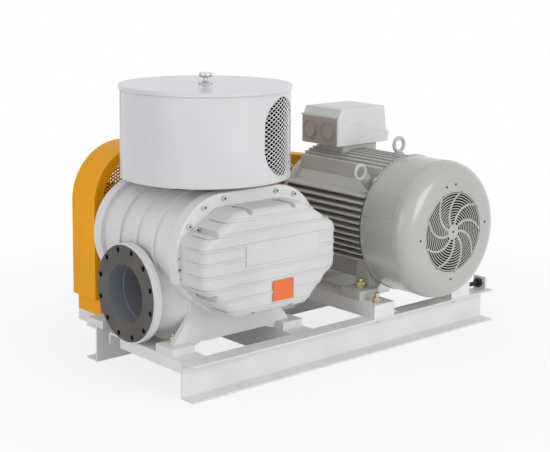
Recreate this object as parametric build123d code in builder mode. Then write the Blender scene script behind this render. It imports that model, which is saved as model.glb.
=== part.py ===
"""Belt-driven three-lobe roots vacuum pump with its motor on one channel base.

Millimetres, +Z up.  +X runs along the base from the blower to the motor, the shafts lie along Y,
the gear cover and the motor's fan cowl face -Y and the belt guard is on the +Y side.
The origin is the bottom centre of the whole package.
"""
from build123d import *
from math import atan2, cos, degrees, hypot, pi, radians, sin, sqrt, tan
import os

os.makedirs("parts", exist_ok=True)

# ---------------------------------------------------------------- driving dimensions
# clearances and fits
RUNNING_FIT = 0.05        # radial, shaft in seal and roller on race
SLIDE_FIT = 0.5           # radial, bolt through a clearance hole

# base frame, pressed from plate
FRAME_LENGTH = 1435.0
FRAME_WIDTH = 600.0
FRAME_HEIGHT = 120.0
BEAM_FLANGE = 63.0
FRAME_PLATE = 6.0
FRAME_X0 = -710.0         # -X end of the beams
FRAME_Y0 = -321.0         # tips of the front beam's flanges
ANCHOR_INSET = 200.0      # anchor hole from each beam end
ANCHOR_GAUGE = 32.0       # anchor hole from the flange tip
ANCHOR_HOLE_R = 9.0
CROSS_WIDTH = 94.0        # the two cross members, along X
LEFT_CROSS_X = 4.0        # from the beam ends
LEFT_CROSS_DEPTH = 40.0
RIGHT_CROSS_X = 463.0
RIGHT_CROSS_DEPTH = 100.0
STRINGER_DEPTH = 40.0
STRINGER_WIDTH = 70.0
REAR_STRINGER_Y = 398.0   # carries the blower's rear feet
MID_STRINGER_Y = 398.0    # ties the right cross member to the rear
MID_STRINGER_LENGTH = 253.0

# blower
BLOWER_X = FRAME_X0 + 311.0
PORT_Y = FRAME_Y0 + 338.0
SHAFT_Z = 439.0
CENTRE_DISTANCE = 220.0
ROTOR_CLEARANCE = 0.35
LOBES = 3
BORE_CLEARANCE = 0.8
CASING_LENGTH = 376.0
BARREL_WALL = 24.0
RIB_HEIGHT = 9.0
RIB_WIDTH = 13.0
CASING_RIBS = 3
END_PLATE = 45.0
END_PLATE_LIP = 16.0
SHAFT_R = 30.0
GEAR_SEAT_R = 26.0
BEARING_R = 60.0
BEARING_WIDTH = 22.0
RACE_THICKNESS = 10.0
ROLLERS = 9
SEAL_R = 44.0
SEAL_WIDTH = 12.0

# timing gears
GEAR_TEETH = 44
GEAR_WIDTH = 40.0
GEAR_HUB_R = 45.0
PRESSURE_ANGLE = 20.0
BACKLASH = 0.8

# gear cover
COVER_HALF_WIDTH = 279.0
COVER_ABOVE = 145.0       # top of the cover over the shafts
COVER_BELOW = 197.0       # its sump under them
COVER_DEPTH = 120.0
COVER_WALL = 16.0
COVER_EDGE = 28.0         # rounding of the front edge
COVER_CORNER = 20.0
COVER_SEAT = 8.0          # plate shown all round the cover
COVER_RIBS = 8
COVER_RIB_PITCH = 42.0
COVER_RIB_WIDTH = 7.0
COVER_RIB_HEIGHT = 3.0

# ports
SUCTION_R = 97.5
SUCTION_FLANGE_R = 140.0
DISCHARGE_R = 97.5
DISCHARGE_Z = 285.0
DISCHARGE_FACE_X = FRAME_X0 - 20.0
FLANGE_R = 165.0
FLANGE_PCD = 290.0
FLANGE_HOLES = 12
FLANGE_HOLE_R = 9.25      # tapping size of M20 (fine)
FLANGE_HOLE_DEPTH = 24.0
FLANGE_THICKNESS = 30.0
FLANGE_FACING = 4.0       # machined, unpainted face
PORT_BORE_LENGTH = 60.0   # machined mouth of the discharge port
PORT_STEP = 3.0           # the cast passage is this much smaller in radius
PASSAGE_WALL = 14.0

# suction silencer
SILENCER_R = 286.0
SILENCER_Z0 = 643.0
SILENCER_HEIGHT = 306.0
SILENCER_SHEET = 3.0
LID_OVERHANG = 4.0
LID_LIP = 14.0
WINDOW_ANGLE = -67.0      # of the mesh window's middle, from +X
WINDOW_WIDTH = 190.0
WINDOW_HEIGHT = 258.0
STUD_R = 8.0

# belt drive and guard
PULLEY_Y = FRAME_Y0 + 643.0
BELTS = 5
BELT_PITCH = 19.0
BLOWER_PULLEY_R = 132.0
MOTOR_PULLEY_R = 112.0
BELT_TOP = 16.0
BELT_DEPTH = 13.0
BELT_CLEARANCE = 0.4
GUARD_Y0 = FRAME_Y0 + 628.0
GUARD_Y1 = FRAME_Y0 + 768.0
GUARD_R = 200.0
GUARD_SHEET = 2.5
GUARD_BORDER = 12.0

# motor, IEC 250 frame
MOTOR_X = FRAME_X0 + 1050.0
SHAFT_HEIGHT = 250.0
FOOT_SPACING_X = 406.0
FOOT_SPACING_Y = 311.0
FOOT_OVERALL_X = 506.0
FOOT_HOLE_Y = FRAME_Y0 + 126.0
DRIVE_SHOULDER = 168.0    # last foot hole to shaft shoulder
MOTOR_SHAFT_R = 32.5
MOTOR_SHAFT_LENGTH = 140.0
COWL_R = 245.0
COWL_FACE_Y = FRAME_Y0 - 126.0
COWL_SHOULDER = 62.0
COWL_LENGTH = 214.0
COWL_SHEET = 3.0
GRILLE_R = 147.0
GRILLE_BOSS_R = 17.0
GRILLE_RINGS = 7
GRILLE_SPOKES = 9
GRILLE_BAR = 5.0
RAIL_WIDTH = 100.0
RAIL_HEIGHT = 50.0
RAIL_PLATE = 6.0
TRAVEL_IN = 30.0          # motor towards the blower
TRAVEL_OUT = 60.0         # motor away from the blower
TENSION_BOLT_R = 8.0
TENSION_PLATE_X = FRAME_X0 + 1405.0

# ---------------------------------------------------------------- derived places
FRAME_X1 = FRAME_X0 + FRAME_LENGTH
FRAME_Y1 = FRAME_Y0 + FRAME_WIDTH
FRONT_WEB_Y = FRAME_Y0 + BEAM_FLANGE
REAR_WEB_Y = FRAME_Y1 - BEAM_FLANGE
CASING_Y0 = PORT_Y - CASING_LENGTH / 2
CASING_Y1 = PORT_Y + CASING_LENGTH / 2
GEAR_PLATE_Y = CASING_Y0 - END_PLATE
DRIVE_PLATE_Y = CASING_Y1 + END_PLATE
COVER_FACE_Y = GEAR_PLATE_Y - COVER_DEPTH
DRIVE_X = BLOWER_X - CENTRE_DISTANCE / 2
DRIVEN_X = BLOWER_X + CENTRE_DISTANCE / 2
PITCH_R = CENTRE_DISTANCE / 2
ROLLING_R = PITCH_R / (2 * LOBES)
LOBE_R = PITCH_R + 2 * ROLLING_R
BORE_R = LOBE_R + BORE_CLEARANCE
BARREL_R = BORE_R + BARREL_WALL
SUCTION_TOP = SHAFT_Z + BARREL_R + 24.0
SILENCER_TOP = SILENCER_Z0 + SILENCER_HEIGHT
RAIL_TOP = FRAME_HEIGHT + RAIL_HEIGHT
MOTOR_Z = RAIL_TOP + SHAFT_HEIGHT
RAIL_XS = (MOTOR_X - FOOT_SPACING_X / 2, MOTOR_X + FOOT_SPACING_X / 2)
FOOT_YS = (FOOT_HOLE_Y, FOOT_HOLE_Y + FOOT_SPACING_Y)
SHOULDER_Y = FOOT_YS[1] + DRIVE_SHOULDER
MOTOR_SHAFT_END = SHOULDER_Y + MOTOR_SHAFT_LENGTH
PULLEY_WIDTH = BELTS * BELT_PITCH
GEAR_Y0 = GEAR_PLATE_Y - 55.0
GEAR_HUB_Y1 = GEAR_PLATE_Y - 5.0
TENSION_YS = (FRAME_Y0 + 42.0, FRAME_Y1 - 42.0)
TENSION_Z = FRAME_HEIGHT + RAIL_HEIGHT / 2


# ---------------------------------------------------------------- helpers
def across(y):
    """Plane facing -Y at y, with local x along +X and local y along +Z."""
    return Plane(origin=(0, y, 0), x_dir=(1, 0, 0), z_dir=(0, -1, 0))


def along(x):
    """Plane facing +X at x, with local x along +Y and local y along +Z."""
    return Plane.YZ.offset(x)


def shaft_plane(x, z):
    """Plane through the shaft line (x, z): local x along +Y, local y is the radius."""
    return Plane(origin=(x, 0, z), x_dir=(0, 1, 0), z_dir=(1, 0, 0))


def shaft_axis(x, z):
    return Axis((x, 0, z), (0, 1, 0))


def outline(plane, points):
    """Closed polygon face on a plane."""
    with BuildSketch(plane) as face:
        with BuildLine():
            Polyline(*points, close=True)
        make_face()
    return face.sketch


def turned(x, z, points):
    """Face (y, radius) for revolving about the shaft line (x, z)."""
    return outline(shaft_plane(x, z), points)


def tube_section(x, z, y0, y1, inner, outer):
    return turned(x, z, [(y0, inner), (y1, inner), (y1, outer), (y0, outer)])


def stadium(y, radius):
    """Slot-shaped face round both shafts of the blower."""
    with BuildSketch(across(y)) as face:
        with Locations((BLOWER_X, SHAFT_Z)):
            SlotCenterToCenter(CENTRE_DISTANCE, 2 * radius)
    return face.sketch


def disc(plane, at, radius):
    with BuildSketch(plane) as face:
        with Locations(at):
            Circle(radius)
    return face.sketch


def hexagon(plane, at, across_flats):
    with BuildSketch(plane) as face:
        with Locations(at):
            RegularPolygon(across_flats / 2, 6, major_radius=False)
    return face.sketch


def save(piece, name):
    piece.part.label = name
    export_step(piece.part, f"parts/{name}.step")


# ================================================================ base frame
def channel_section(x, y_web, y_tip):
    """Channel end view with its web at y_web and its flange tips at y_tip."""
    side = 1 if y_tip > y_web else -1
    inner = y_web + side * FRAME_PLATE
    return outline(along(x), [
        (y_web, 0), (y_tip, 0), (y_tip, FRAME_PLATE), (inner, FRAME_PLATE),
        (inner, FRAME_HEIGHT - FRAME_PLATE), (y_tip, FRAME_HEIGHT - FRAME_PLATE),
        (y_tip, FRAME_HEIGHT), (y_web, FRAME_HEIGHT)])


ANCHOR_XS = (FRAME_X0 + ANCHOR_INSET, FRAME_X1 - ANCHOR_INSET)
SLOT_R = TENSION_BOLT_R + 1.5
SLOT_LENGTH = TRAVEL_IN + TRAVEL_OUT + 40.0
SLOT_SHIFT = (TRAVEL_OUT - TRAVEL_IN) / 2 + 10.0

with BuildPart() as front_beam:
    extrude(channel_section(FRAME_X0, FRONT_WEB_Y, FRAME_Y0), amount=FRAME_LENGTH)
    with BuildSketch(Plane.XY):
        with Locations(*[(x, FRAME_Y0 + ANCHOR_GAUGE) for x in ANCHOR_XS]):
            Circle(ANCHOR_HOLE_R)
    extrude(amount=FRAME_PLATE, mode=Mode.SUBTRACT)
    with BuildSketch(Plane.XY.offset(FRAME_HEIGHT)):
        with Locations(*[(x + SLOT_SHIFT, FRAME_Y0 + ANCHOR_GAUGE) for x in RAIL_XS]):
            SlotCenterToCenter(SLOT_LENGTH, 2 * SLOT_R)
    extrude(amount=-FRAME_PLATE, mode=Mode.SUBTRACT)
save(front_beam, "front_beam")

with BuildPart() as rear_beam:
    extrude(channel_section(FRAME_X0, REAR_WEB_Y, FRAME_Y1), amount=FRAME_LENGTH)
    with BuildSketch(Plane.XY):
        with Locations(*[(x, FRAME_Y1 - ANCHOR_GAUGE) for x in ANCHOR_XS]):
            Circle(ANCHOR_HOLE_R)
    extrude(amount=FRAME_PLATE, mode=Mode.SUBTRACT)
    with BuildSketch(Plane.XY.offset(FRAME_HEIGHT)):
        with Locations(*[(x + SLOT_SHIFT, FRAME_Y1 - ANCHOR_GAUGE) for x in RAIL_XS]):
            SlotCenterToCenter(SLOT_LENGTH, 2 * SLOT_R)
    extrude(amount=-FRAME_PLATE, mode=Mode.SUBTRACT)
save(rear_beam, "rear_beam")


def inverted_channel(x0, x1, depth):
    """Channel running along Y, web up and flush with the beam tops, flanges down."""
    top = FRAME_HEIGHT
    low = FRAME_HEIGHT - depth
    t = FRAME_PLATE
    return [(x0, low), (x0 + t, low), (x0 + t, top - t), (x1 - t, top - t),
            (x1 - t, low), (x1, low), (x1, top), (x0, top)]


LEFT_X0 = FRAME_X0 + LEFT_CROSS_X
LEFT_X1 = LEFT_X0 + CROSS_WIDTH
RIGHT_X0 = FRAME_X0 + RIGHT_CROSS_X
RIGHT_X1 = RIGHT_X0 + CROSS_WIDTH
STRINGER_Y0 = FRAME_Y0 + REAR_STRINGER_Y
MID_Y0 = FRAME_Y0 + MID_STRINGER_Y

with BuildPart() as left_cross_member:
    section = outline(across(STRINGER_Y0), inverted_channel(LEFT_X0, LEFT_X1, LEFT_CROSS_DEPTH))
    extrude(section, amount=STRINGER_Y0 - FRONT_WEB_Y)
save(left_cross_member, "left_cross_member")

with BuildPart() as right_cross_member:
    section = outline(across(REAR_WEB_Y), inverted_channel(RIGHT_X0, RIGHT_X1, RIGHT_CROSS_DEPTH))
    extrude(section, amount=REAR_WEB_Y - FRONT_WEB_Y)
save(right_cross_member, "right_cross_member")


def stringer_section(x, y0):
    """Inverted channel running along X."""
    y1 = y0 + STRINGER_WIDTH
    top = FRAME_HEIGHT
    low = top - STRINGER_DEPTH
    t = FRAME_PLATE
    return outline(along(x), [(y0, low), (y0 + t, low), (y0 + t, top - t), (y1 - t, top - t),
                              (y1 - t, low), (y1, low), (y1, top), (y0, top)])


with BuildPart() as stringers:
    extrude(stringer_section(LEFT_X0, STRINGER_Y0), amount=RIGHT_X0 - LEFT_X0)
    extrude(stringer_section(RIGHT_X1, MID_Y0), amount=MID_STRINGER_LENGTH)
    # the free end of the middle stringer is cut on a slant
    slant = outline(across(MID_Y0 + STRINGER_WIDTH), [
        (RIGHT_X1 + MID_STRINGER_LENGTH - 30, FRAME_HEIGHT - STRINGER_DEPTH),
        (RIGHT_X1 + MID_STRINGER_LENGTH, FRAME_HEIGHT - STRINGER_DEPTH),
        (RIGHT_X1 + MID_STRINGER_LENGTH, FRAME_HEIGHT - FRAME_PLATE)])
    extrude(slant, amount=STRINGER_WIDTH, mode=Mode.SUBTRACT)
save(stringers, "stringers")

TENSION_PLATE = 10.0
TENSION_PLATE_HEIGHT = 48.0
TENSION_PLATE_WIDTH = 56.0

with BuildPart() as tension_brackets:
    for y in TENSION_YS:
        with BuildSketch(along(TENSION_PLATE_X)):
            with Locations((y, FRAME_HEIGHT + TENSION_PLATE_HEIGHT / 2)):
                Rectangle(TENSION_PLATE_WIDTH, TENSION_PLATE_HEIGHT)
            with Locations((y, TENSION_Z)):
                Circle(TENSION_BOLT_R + SLIDE_FIT, mode=Mode.SUBTRACT)
        extrude(amount=TENSION_PLATE)
save(tension_brackets, "tension_brackets")

# tension bolts: head outside the bracket, lock nut inside it, thread in the rail's welded nut
NUT_FLATS = 30.0
NUT_THICKNESS = 16.0
HEAD_THICKNESS = 13.0
RAIL_SIDE_X = RAIL_XS[1] + RAIL_WIDTH / 2
BOLT_REACH = 20.0         # thread left inside the rail
BOLT_TIP_X = RAIL_SIDE_X - BOLT_REACH
BOLT_END_X = TENSION_PLATE_X + TENSION_PLATE + HEAD_THICKNESS + 12.0


def tension_bolt(y):
    with BuildPart() as bolt:
        extrude(disc(along(BOLT_TIP_X), (y, TENSION_Z), TENSION_BOLT_R), amount=BOLT_END_X - BOLT_TIP_X)
        extrude(hexagon(along(TENSION_PLATE_X + TENSION_PLATE), (y, TENSION_Z), NUT_FLATS),
                amount=HEAD_THICKNESS)
        extrude(hexagon(along(TENSION_PLATE_X), (y, TENSION_Z), NUT_FLATS), amount=-NUT_THICKNESS)
    return bolt


save(tension_bolt(TENSION_YS[0]), "tension_bolt_front")
save(tension_bolt(TENSION_YS[1]), "tension_bolt_rear")

# ================================================================ blower casing
FOOT_X_SPANS = ((FRAME_X0 + 5.0, FRAME_X0 + 91.0), (FRAME_X0 + 468.0, FRAME_X0 + 554.0))
FOOT_Y_SPANS = ((FRAME_Y0 + 113.0, FRAME_Y0 + 204.0), (FRAME_Y1 - 92.0, FRAME_Y1 - 2.0))
FOOT_THICKNESS = 26.0
FOOT_BOLT_INSET = 28.0
GUSSET_WIDTH = 20.0
CHAMBER_LOW = FRAME_HEIGHT + 16.0
CHAMBER_X0 = BLOWER_X - 205.0
CHAMBER_X1 = BLOWER_X + 165.0

with BuildPart() as discharge_passage:
    extrude(disc(along(DISCHARGE_FACE_X), (PORT_Y, DISCHARGE_Z), DISCHARGE_R - PORT_STEP),
            amount=BLOWER_X - DISCHARGE_FACE_X)
    with BuildSketch(across(PORT_Y + DISCHARGE_R)):
        with Locations((BLOWER_X - 40.0, CHAMBER_LOW + PASSAGE_WALL + 100.0)):
            Rectangle(310.0, 200.0)
    extrude(amount=2 * DISCHARGE_R)
    extrude(stadium(CASING_Y1, BORE_R + PASSAGE_WALL), amount=CASING_LENGTH, mode=Mode.SUBTRACT)
    with BuildSketch(across(PORT_Y + DISCHARGE_R)):
        with Locations((BLOWER_X, SHAFT_Z - BORE_R)):
            Rectangle(110.0, 190.0)
    extrude(amount=2 * DISCHARGE_R)
    extrude(disc(along(DISCHARGE_FACE_X), (PORT_Y, DISCHARGE_Z), DISCHARGE_R), amount=PORT_BORE_LENGTH)


def foot(x_span, y_span, toward):
    """Foot pad with a web rising to the casing; toward is +1 where the casing lies on its +X side."""
    x0, x1 = x_span
    y0, y1 = y_span
    with BuildPart() as pad:
        with BuildSketch(Plane.XY.offset(FRAME_HEIGHT)):
            with Locations(((x0 + x1) / 2, (y0 + y1) / 2)):
                Rectangle(x1 - x0, y1 - y0)
        extrude(amount=FOOT_THICKNESS)
        base = FRAME_HEIGHT + FOOT_THICKNESS
        inner = x1 if toward > 0 else x0
        outer = x0 if toward > 0 else x1
        web_y = CASING_Y0 + GUSSET_WIDTH if y0 < PORT_Y else CASING_Y1
        with BuildSketch(across(web_y)):
            with BuildLine():
                Polyline((outer + toward * 30, FRAME_HEIGHT), (outer + toward * 30, base),
                         (inner + toward * 20, base + 95), (inner + toward * 70, base + 95),
                         (inner + toward * 70, FRAME_HEIGHT + 22), (inner, FRAME_HEIGHT), close=True)
            make_face()
        extrude(amount=GUSSET_WIDTH)
    return pad.part


with BuildPart() as rotor_casing:
    extrude(stadium(CASING_Y1, BARREL_R), amount=CASING_LENGTH)
    for rib in range(CASING_RIBS):
        y = CASING_Y0 + (rib + 1) * CASING_LENGTH / (CASING_RIBS + 1) + RIB_WIDTH / 2
        extrude(stadium(y, BARREL_R + RIB_HEIGHT), amount=RIB_WIDTH)
    # discharge chamber under the rotors
    with BuildSketch(across(CASING_Y1)) as chamber:
        with Locations(((CHAMBER_X0 + CHAMBER_X1) / 2, (CHAMBER_LOW + SHAFT_Z) / 2)):
            Rectangle(CHAMBER_X1 - CHAMBER_X0, SHAFT_Z - CHAMBER_LOW)
        fillet(chamber.vertices().group_by(Axis.Z)[0], 60)
    extrude(amount=CASING_LENGTH)
    # oval throat from the chamber to the round flange
    with BuildSketch(along(CHAMBER_X0 + 30.0)):
        with Locations((PORT_Y, (CHAMBER_LOW + SHAFT_Z - 30) / 2)):
            RectangleRounded(CASING_LENGTH - 4, SHAFT_Z - 30 - CHAMBER_LOW, 110)
    with BuildSketch(along(DISCHARGE_FACE_X + FLANGE_THICKNESS - 2)):
        with Locations((PORT_Y, DISCHARGE_Z)):
            Circle(DISCHARGE_R + 34.0)
    loft()
    extrude(disc(along(DISCHARGE_FACE_X + FLANGE_FACING), (PORT_Y, DISCHARGE_Z), FLANGE_R),
            amount=FLANGE_THICKNESS - FLANGE_FACING)
    extrude(disc(along(DISCHARGE_FACE_X), (PORT_Y, DISCHARGE_Z), FLANGE_R - 5), amount=FLANGE_FACING)
    # suction neck and flange
    extrude(disc(Plane.XY.offset(SHAFT_Z), (BLOWER_X, PORT_Y), SUCTION_R + 20), amount=SUCTION_TOP - SHAFT_Z)
    extrude(disc(Plane.XY.offset(SUCTION_TOP), (BLOWER_X, PORT_Y), SUCTION_FLANGE_R), amount=-22)
    for x_span, toward in zip(FOOT_X_SPANS, (1, -1)):
        for y_span in FOOT_Y_SPANS:
            add(foot(x_span, y_span, toward))
    # bores, passages and holes
    for x in (DRIVE_X, DRIVEN_X):
        extrude(disc(across(CASING_Y1), (x, SHAFT_Z), BORE_R), amount=CASING_LENGTH, mode=Mode.SUBTRACT)
    extrude(disc(Plane.XY.offset(SUCTION_TOP), (BLOWER_X, PORT_Y), SUCTION_R),
            amount=-(SUCTION_TOP - SHAFT_Z - 60), mode=Mode.SUBTRACT)
    add(discharge_passage.part, mode=Mode.SUBTRACT)
    with BuildSketch(along(DISCHARGE_FACE_X)):
        with Locations((PORT_Y, DISCHARGE_Z)):
            with PolarLocations(FLANGE_PCD / 2, FLANGE_HOLES, start_angle=180.0 / FLANGE_HOLES):
                Circle(FLANGE_HOLE_R)
    extrude(amount=FLANGE_HOLE_DEPTH, mode=Mode.SUBTRACT)
save(rotor_casing, "rotor_casing")


def cover_outline(y, inset):
    """Eight-sided outline of the gear cover, drawn in by inset, with cut upper and lower corners."""
    side = COVER_HALF_WIDTH - inset
    top = COVER_ABOVE - inset
    low = COVER_BELOW - inset
    nick = inset * tan(pi / 8)
    half = [(side, 60 - nick), (139 - nick, top), (-139 + nick, top), (-side, 60 - nick)]
    under = [(-side, -82 + nick), (-149 + nick, -low), (149 - nick, -low), (side, -82 + nick)]
    return outline(across(y), [(BLOWER_X + x, SHAFT_Z + z) for x, z in half + under])


def end_plate(y_outer, y_inner):
    """Stadium plate; y_outer is the bearing side and y_inner the side on the casing."""
    inward = 1 if y_inner > y_outer else -1
    seat = y_outer + inward * (BEARING_WIDTH + 4)
    seal = y_inner - inward * 6
    low = min(y_outer, y_inner)
    high = max(y_outer, y_inner)
    with BuildPart() as plate:
        extrude(stadium(high, BARREL_R + END_PLATE_LIP), amount=high - low)
        if inward > 0:
            extrude(cover_outline(high, -COVER_SEAT), amount=high - low)
        outside = plate.faces().sort_by(Axis.Y)[0 if inward > 0 else -1]
        fillet(outside.edges(), 4)
        for x in (DRIVE_X, DRIVEN_X):
            bore = [(y_outer, 0), (y_outer, BEARING_R), (seat, BEARING_R), (seat, SEAL_R), (seal, SEAL_R),
                    (seal, SHAFT_R + 1), (y_inner, SHAFT_R + 1), (y_inner, 0)]
            revolve(turned(x, SHAFT_Z, bore), axis=shaft_axis(x, SHAFT_Z), mode=Mode.SUBTRACT)
    return plate


save(end_plate(GEAR_PLATE_Y, CASING_Y0), "gear_end_plate")
save(end_plate(DRIVE_PLATE_Y, CASING_Y1), "drive_end_plate")

# ================================================================ gear cover
NOTCH_R = 11.0
NOTCH_FLOOR = GEAR_PLATE_Y - 14.0
COVER_BOLTS = [(side * x, z) for x, z in ((90, 142), (230, 87), (234, -116), (80, -194)) for side in (-1, 1)]
RIB_MIDDLE = SHAFT_Z + (COVER_ABOVE - COVER_BELOW) / 2

with BuildPart() as cover_ribs:
    extrude(cover_outline(GEAR_PLATE_Y - 30, -COVER_RIB_HEIGHT), amount=COVER_DEPTH - 30 + COVER_RIB_HEIGHT)
    fillet(cover_ribs.edges().filter_by(Axis.Y), COVER_CORNER + COVER_RIB_HEIGHT)
    fillet(cover_ribs.faces().sort_by(Axis.Y)[0].edges(), COVER_EDGE + COVER_RIB_HEIGHT)
    with BuildSketch(across(GEAR_PLATE_Y)):
        with Locations((BLOWER_X, RIB_MIDDLE)):
            with GridLocations(1, COVER_RIB_PITCH, 1, COVER_RIBS):
                Rectangle(3 * COVER_HALF_WIDTH, COVER_RIB_WIDTH)
    extrude(amount=2 * COVER_DEPTH, mode=Mode.INTERSECT)

with BuildPart() as gear_cover:
    extrude(cover_outline(GEAR_PLATE_Y, 0), amount=COVER_DEPTH)
    fillet(gear_cover.edges().filter_by(Axis.Y), COVER_CORNER)
    fillet(gear_cover.faces().sort_by(Axis.Y)[0].edges(), COVER_EDGE)
    add(cover_ribs.part)
    # smooth panel across the middle of the face
    with BuildSketch(across(COVER_FACE_Y)):
        with Locations((BLOWER_X + 40, SHAFT_Z + 6)):
            Rectangle(310, 72)
    extrude(amount=COVER_RIB_HEIGHT)
    # notches that let the cover's screws sit near the plate
    with BuildSketch(across(NOTCH_FLOOR)):
        for x, z in COVER_BOLTS:
            with Locations(Location((BLOWER_X + x, SHAFT_Z + z))):
                Circle(NOTCH_R)
    extrude(amount=COVER_DEPTH, mode=Mode.SUBTRACT)
    extrude(cover_outline(GEAR_PLATE_Y, COVER_WALL), amount=COVER_DEPTH - COVER_WALL, mode=Mode.SUBTRACT)
save(gear_cover, "gear_cover")

BLANK_WIDTH = 88.0
BLANK_HEIGHT = 66.0
with BuildPart() as blank_plate:
    with BuildSketch(across(COVER_FACE_Y - COVER_RIB_HEIGHT)):
        with Locations((BLOWER_X + 40, SHAFT_Z - 129)):
            Rectangle(BLANK_WIDTH, BLANK_HEIGHT)
    extrude(amount=1.0)
save(blank_plate, "blank_plate")

DRIVE_COVER_DEPTH = 20.0
with BuildPart() as drive_end_cover:
    with BuildSketch(across(DRIVE_PLATE_Y + DRIVE_COVER_DEPTH)):
        with Locations((BLOWER_X, SHAFT_Z)):
            SlotCenterToCenter(CENTRE_DISTANCE, 2 * (BEARING_R + 24))
    extrude(amount=DRIVE_COVER_DEPTH)
    fillet(drive_end_cover.faces().sort_by(Axis.Y)[-1].edges(), 6)
    pocket = [(DRIVE_PLATE_Y, 0), (DRIVE_PLATE_Y, BEARING_R - 8), (DRIVE_PLATE_Y + 12, BEARING_R - 8),
              (DRIVE_PLATE_Y + 12, 0)]
    for x in (DRIVE_X, DRIVEN_X):
        revolve(turned(x, SHAFT_Z, pocket), axis=shaft_axis(x, SHAFT_Z), mode=Mode.SUBTRACT)
    extrude(disc(across(DRIVE_PLATE_Y + DRIVE_COVER_DEPTH), (DRIVE_X, SHAFT_Z), SHAFT_R + 1),
            amount=DRIVE_COVER_DEPTH, mode=Mode.SUBTRACT)
save(drive_end_cover, "drive_end_cover")

# ================================================================ bearings and seals
GEAR_BEARING_Y = GEAR_PLATE_Y + 3
DRIVE_BEARING_Y = DRIVE_PLATE_Y - 3 - BEARING_WIDTH
BEARING_YS = (GEAR_BEARING_Y, DRIVE_BEARING_Y)
INNER_RACE_R = SHAFT_R + RACE_THICKNESS
OUTER_RACE_R = BEARING_R - RACE_THICKNESS
ROLLER_R = (OUTER_RACE_R - INNER_RACE_R) / 2 - RUNNING_FIT
ROLLER_CIRCLE = (OUTER_RACE_R + INNER_RACE_R) / 2

with BuildPart() as bearing_outer_rings:
    for x in (DRIVE_X, DRIVEN_X):
        for y in BEARING_YS:
            revolve(tube_section(x, SHAFT_Z, y, y + BEARING_WIDTH, OUTER_RACE_R, BEARING_R),
                    axis=shaft_axis(x, SHAFT_Z))
save(bearing_outer_rings, "bearing_outer_rings")

with BuildPart() as bearing_rollers:
    for x in (DRIVE_X, DRIVEN_X):
        for y in BEARING_YS:
            with BuildSketch(across(y + BEARING_WIDTH - 3)):
                with Locations((x, SHAFT_Z)):
                    with PolarLocations(ROLLER_CIRCLE, ROLLERS):
                        Circle(ROLLER_R)
            extrude(amount=BEARING_WIDTH - 6)
save(bearing_rollers, "bearing_rollers")

with BuildPart() as shaft_seals:
    for x in (DRIVE_X, DRIVEN_X):
        for y in (CASING_Y0 - 6 - SEAL_WIDTH, CASING_Y1 + 6):
            revolve(tube_section(x, SHAFT_Z, y, y + SEAL_WIDTH, SHAFT_R + RUNNING_FIT, SEAL_R),
                    axis=shaft_axis(x, SHAFT_Z))
save(shaft_seals, "shaft_seals")


def inner_rings(x):
    with BuildPart() as rings:
        for y in BEARING_YS:
            revolve(tube_section(x, SHAFT_Z, y, y + BEARING_WIDTH, SHAFT_R, INNER_RACE_R),
                    axis=shaft_axis(x, SHAFT_Z))
    return rings


save(inner_rings(DRIVE_X), "drive_inner_rings")
save(inner_rings(DRIVEN_X), "driven_inner_rings")


# ================================================================ rotors
TANGENT_STEP = 1e-4       # radians, for the outline's tangent


def cycloid_point(t, outward):
    """Point traced by the circle that rolls outside or inside the pitch circle."""
    r = ROLLING_R if outward else -ROLLING_R
    k = (PITCH_R + r) / r
    x = (PITCH_R + r) * cos(t) - r * cos(k * t)
    y = (PITCH_R + r) * sin(t) - r * sin(k * t)
    return x, y


def rotor_outline():
    """Three-lobe cycloidal outline, drawn in by the rotor clearance along its normal."""
    steps = 7
    arc = pi / LOBES
    points = []
    for lobe in range(2 * LOBES):
        outward = lobe % 2 == 0
        start = (lobe - 0.5) * arc
        for i in range(steps):
            t = arc * i / steps
            x, y = cycloid_point(t, outward)
            ahead_x, ahead_y = cycloid_point(t + TANGENT_STEP, outward)
            behind_x, behind_y = cycloid_point(t - TANGENT_STEP, outward) if i else (x, y)
            dx = ahead_x - behind_x
            dy = ahead_y - behind_y
            x -= ROTOR_CLEARANCE * dy / hypot(dx, dy)
            y += ROTOR_CLEARANCE * dx / hypot(dx, dy)
            points.append((x * cos(start) - y * sin(start), x * sin(start) + y * cos(start)))
    return points


SIDE_GAP = 0.4


def rotor(x):
    with BuildPart() as lobes:
        with BuildSketch(across(CASING_Y1 - SIDE_GAP)):
            with BuildLine():
                Spline(*[(x + px, SHAFT_Z + pz) for px, pz in rotor_outline()], periodic=True)
            make_face()
            with Locations((x, SHAFT_Z)):
                Circle(SHAFT_R, mode=Mode.SUBTRACT)
                with PolarLocations(PITCH_R * 0.86, LOBES):
                    Circle(PITCH_R * 0.19, mode=Mode.SUBTRACT)
        extrude(amount=CASING_LENGTH - 2 * SIDE_GAP)
    return lobes


save(rotor(DRIVE_X), "drive_rotor")
save(rotor(DRIVEN_X), "driven_rotor")

GEAR_END_Y = GEAR_Y0 - 20.0
PULLEY_END_Y = PULLEY_Y + PULLEY_WIDTH


def blower_shaft(x, y_end, seat_y):
    """Stepped shaft: gear seat, bearing and rotor seat, and a pulley seat where y_end lies beyond."""
    with BuildPart() as shaft:
        revolve(turned(x, SHAFT_Z, [(GEAR_END_Y, 0), (GEAR_END_Y, GEAR_SEAT_R), (GEAR_HUB_Y1, GEAR_SEAT_R),
                                    (GEAR_HUB_Y1, SHAFT_R), (seat_y, SHAFT_R), (seat_y, GEAR_SEAT_R),
                                    (y_end, GEAR_SEAT_R), (y_end, 0)]), axis=shaft_axis(x, SHAFT_Z))
    return shaft


save(blower_shaft(DRIVE_X, PULLEY_END_Y + 6, PULLEY_Y - 4), "drive_shaft")
save(blower_shaft(DRIVEN_X, DRIVE_PLATE_Y + 8, DRIVE_PLATE_Y), "driven_shaft")

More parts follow.
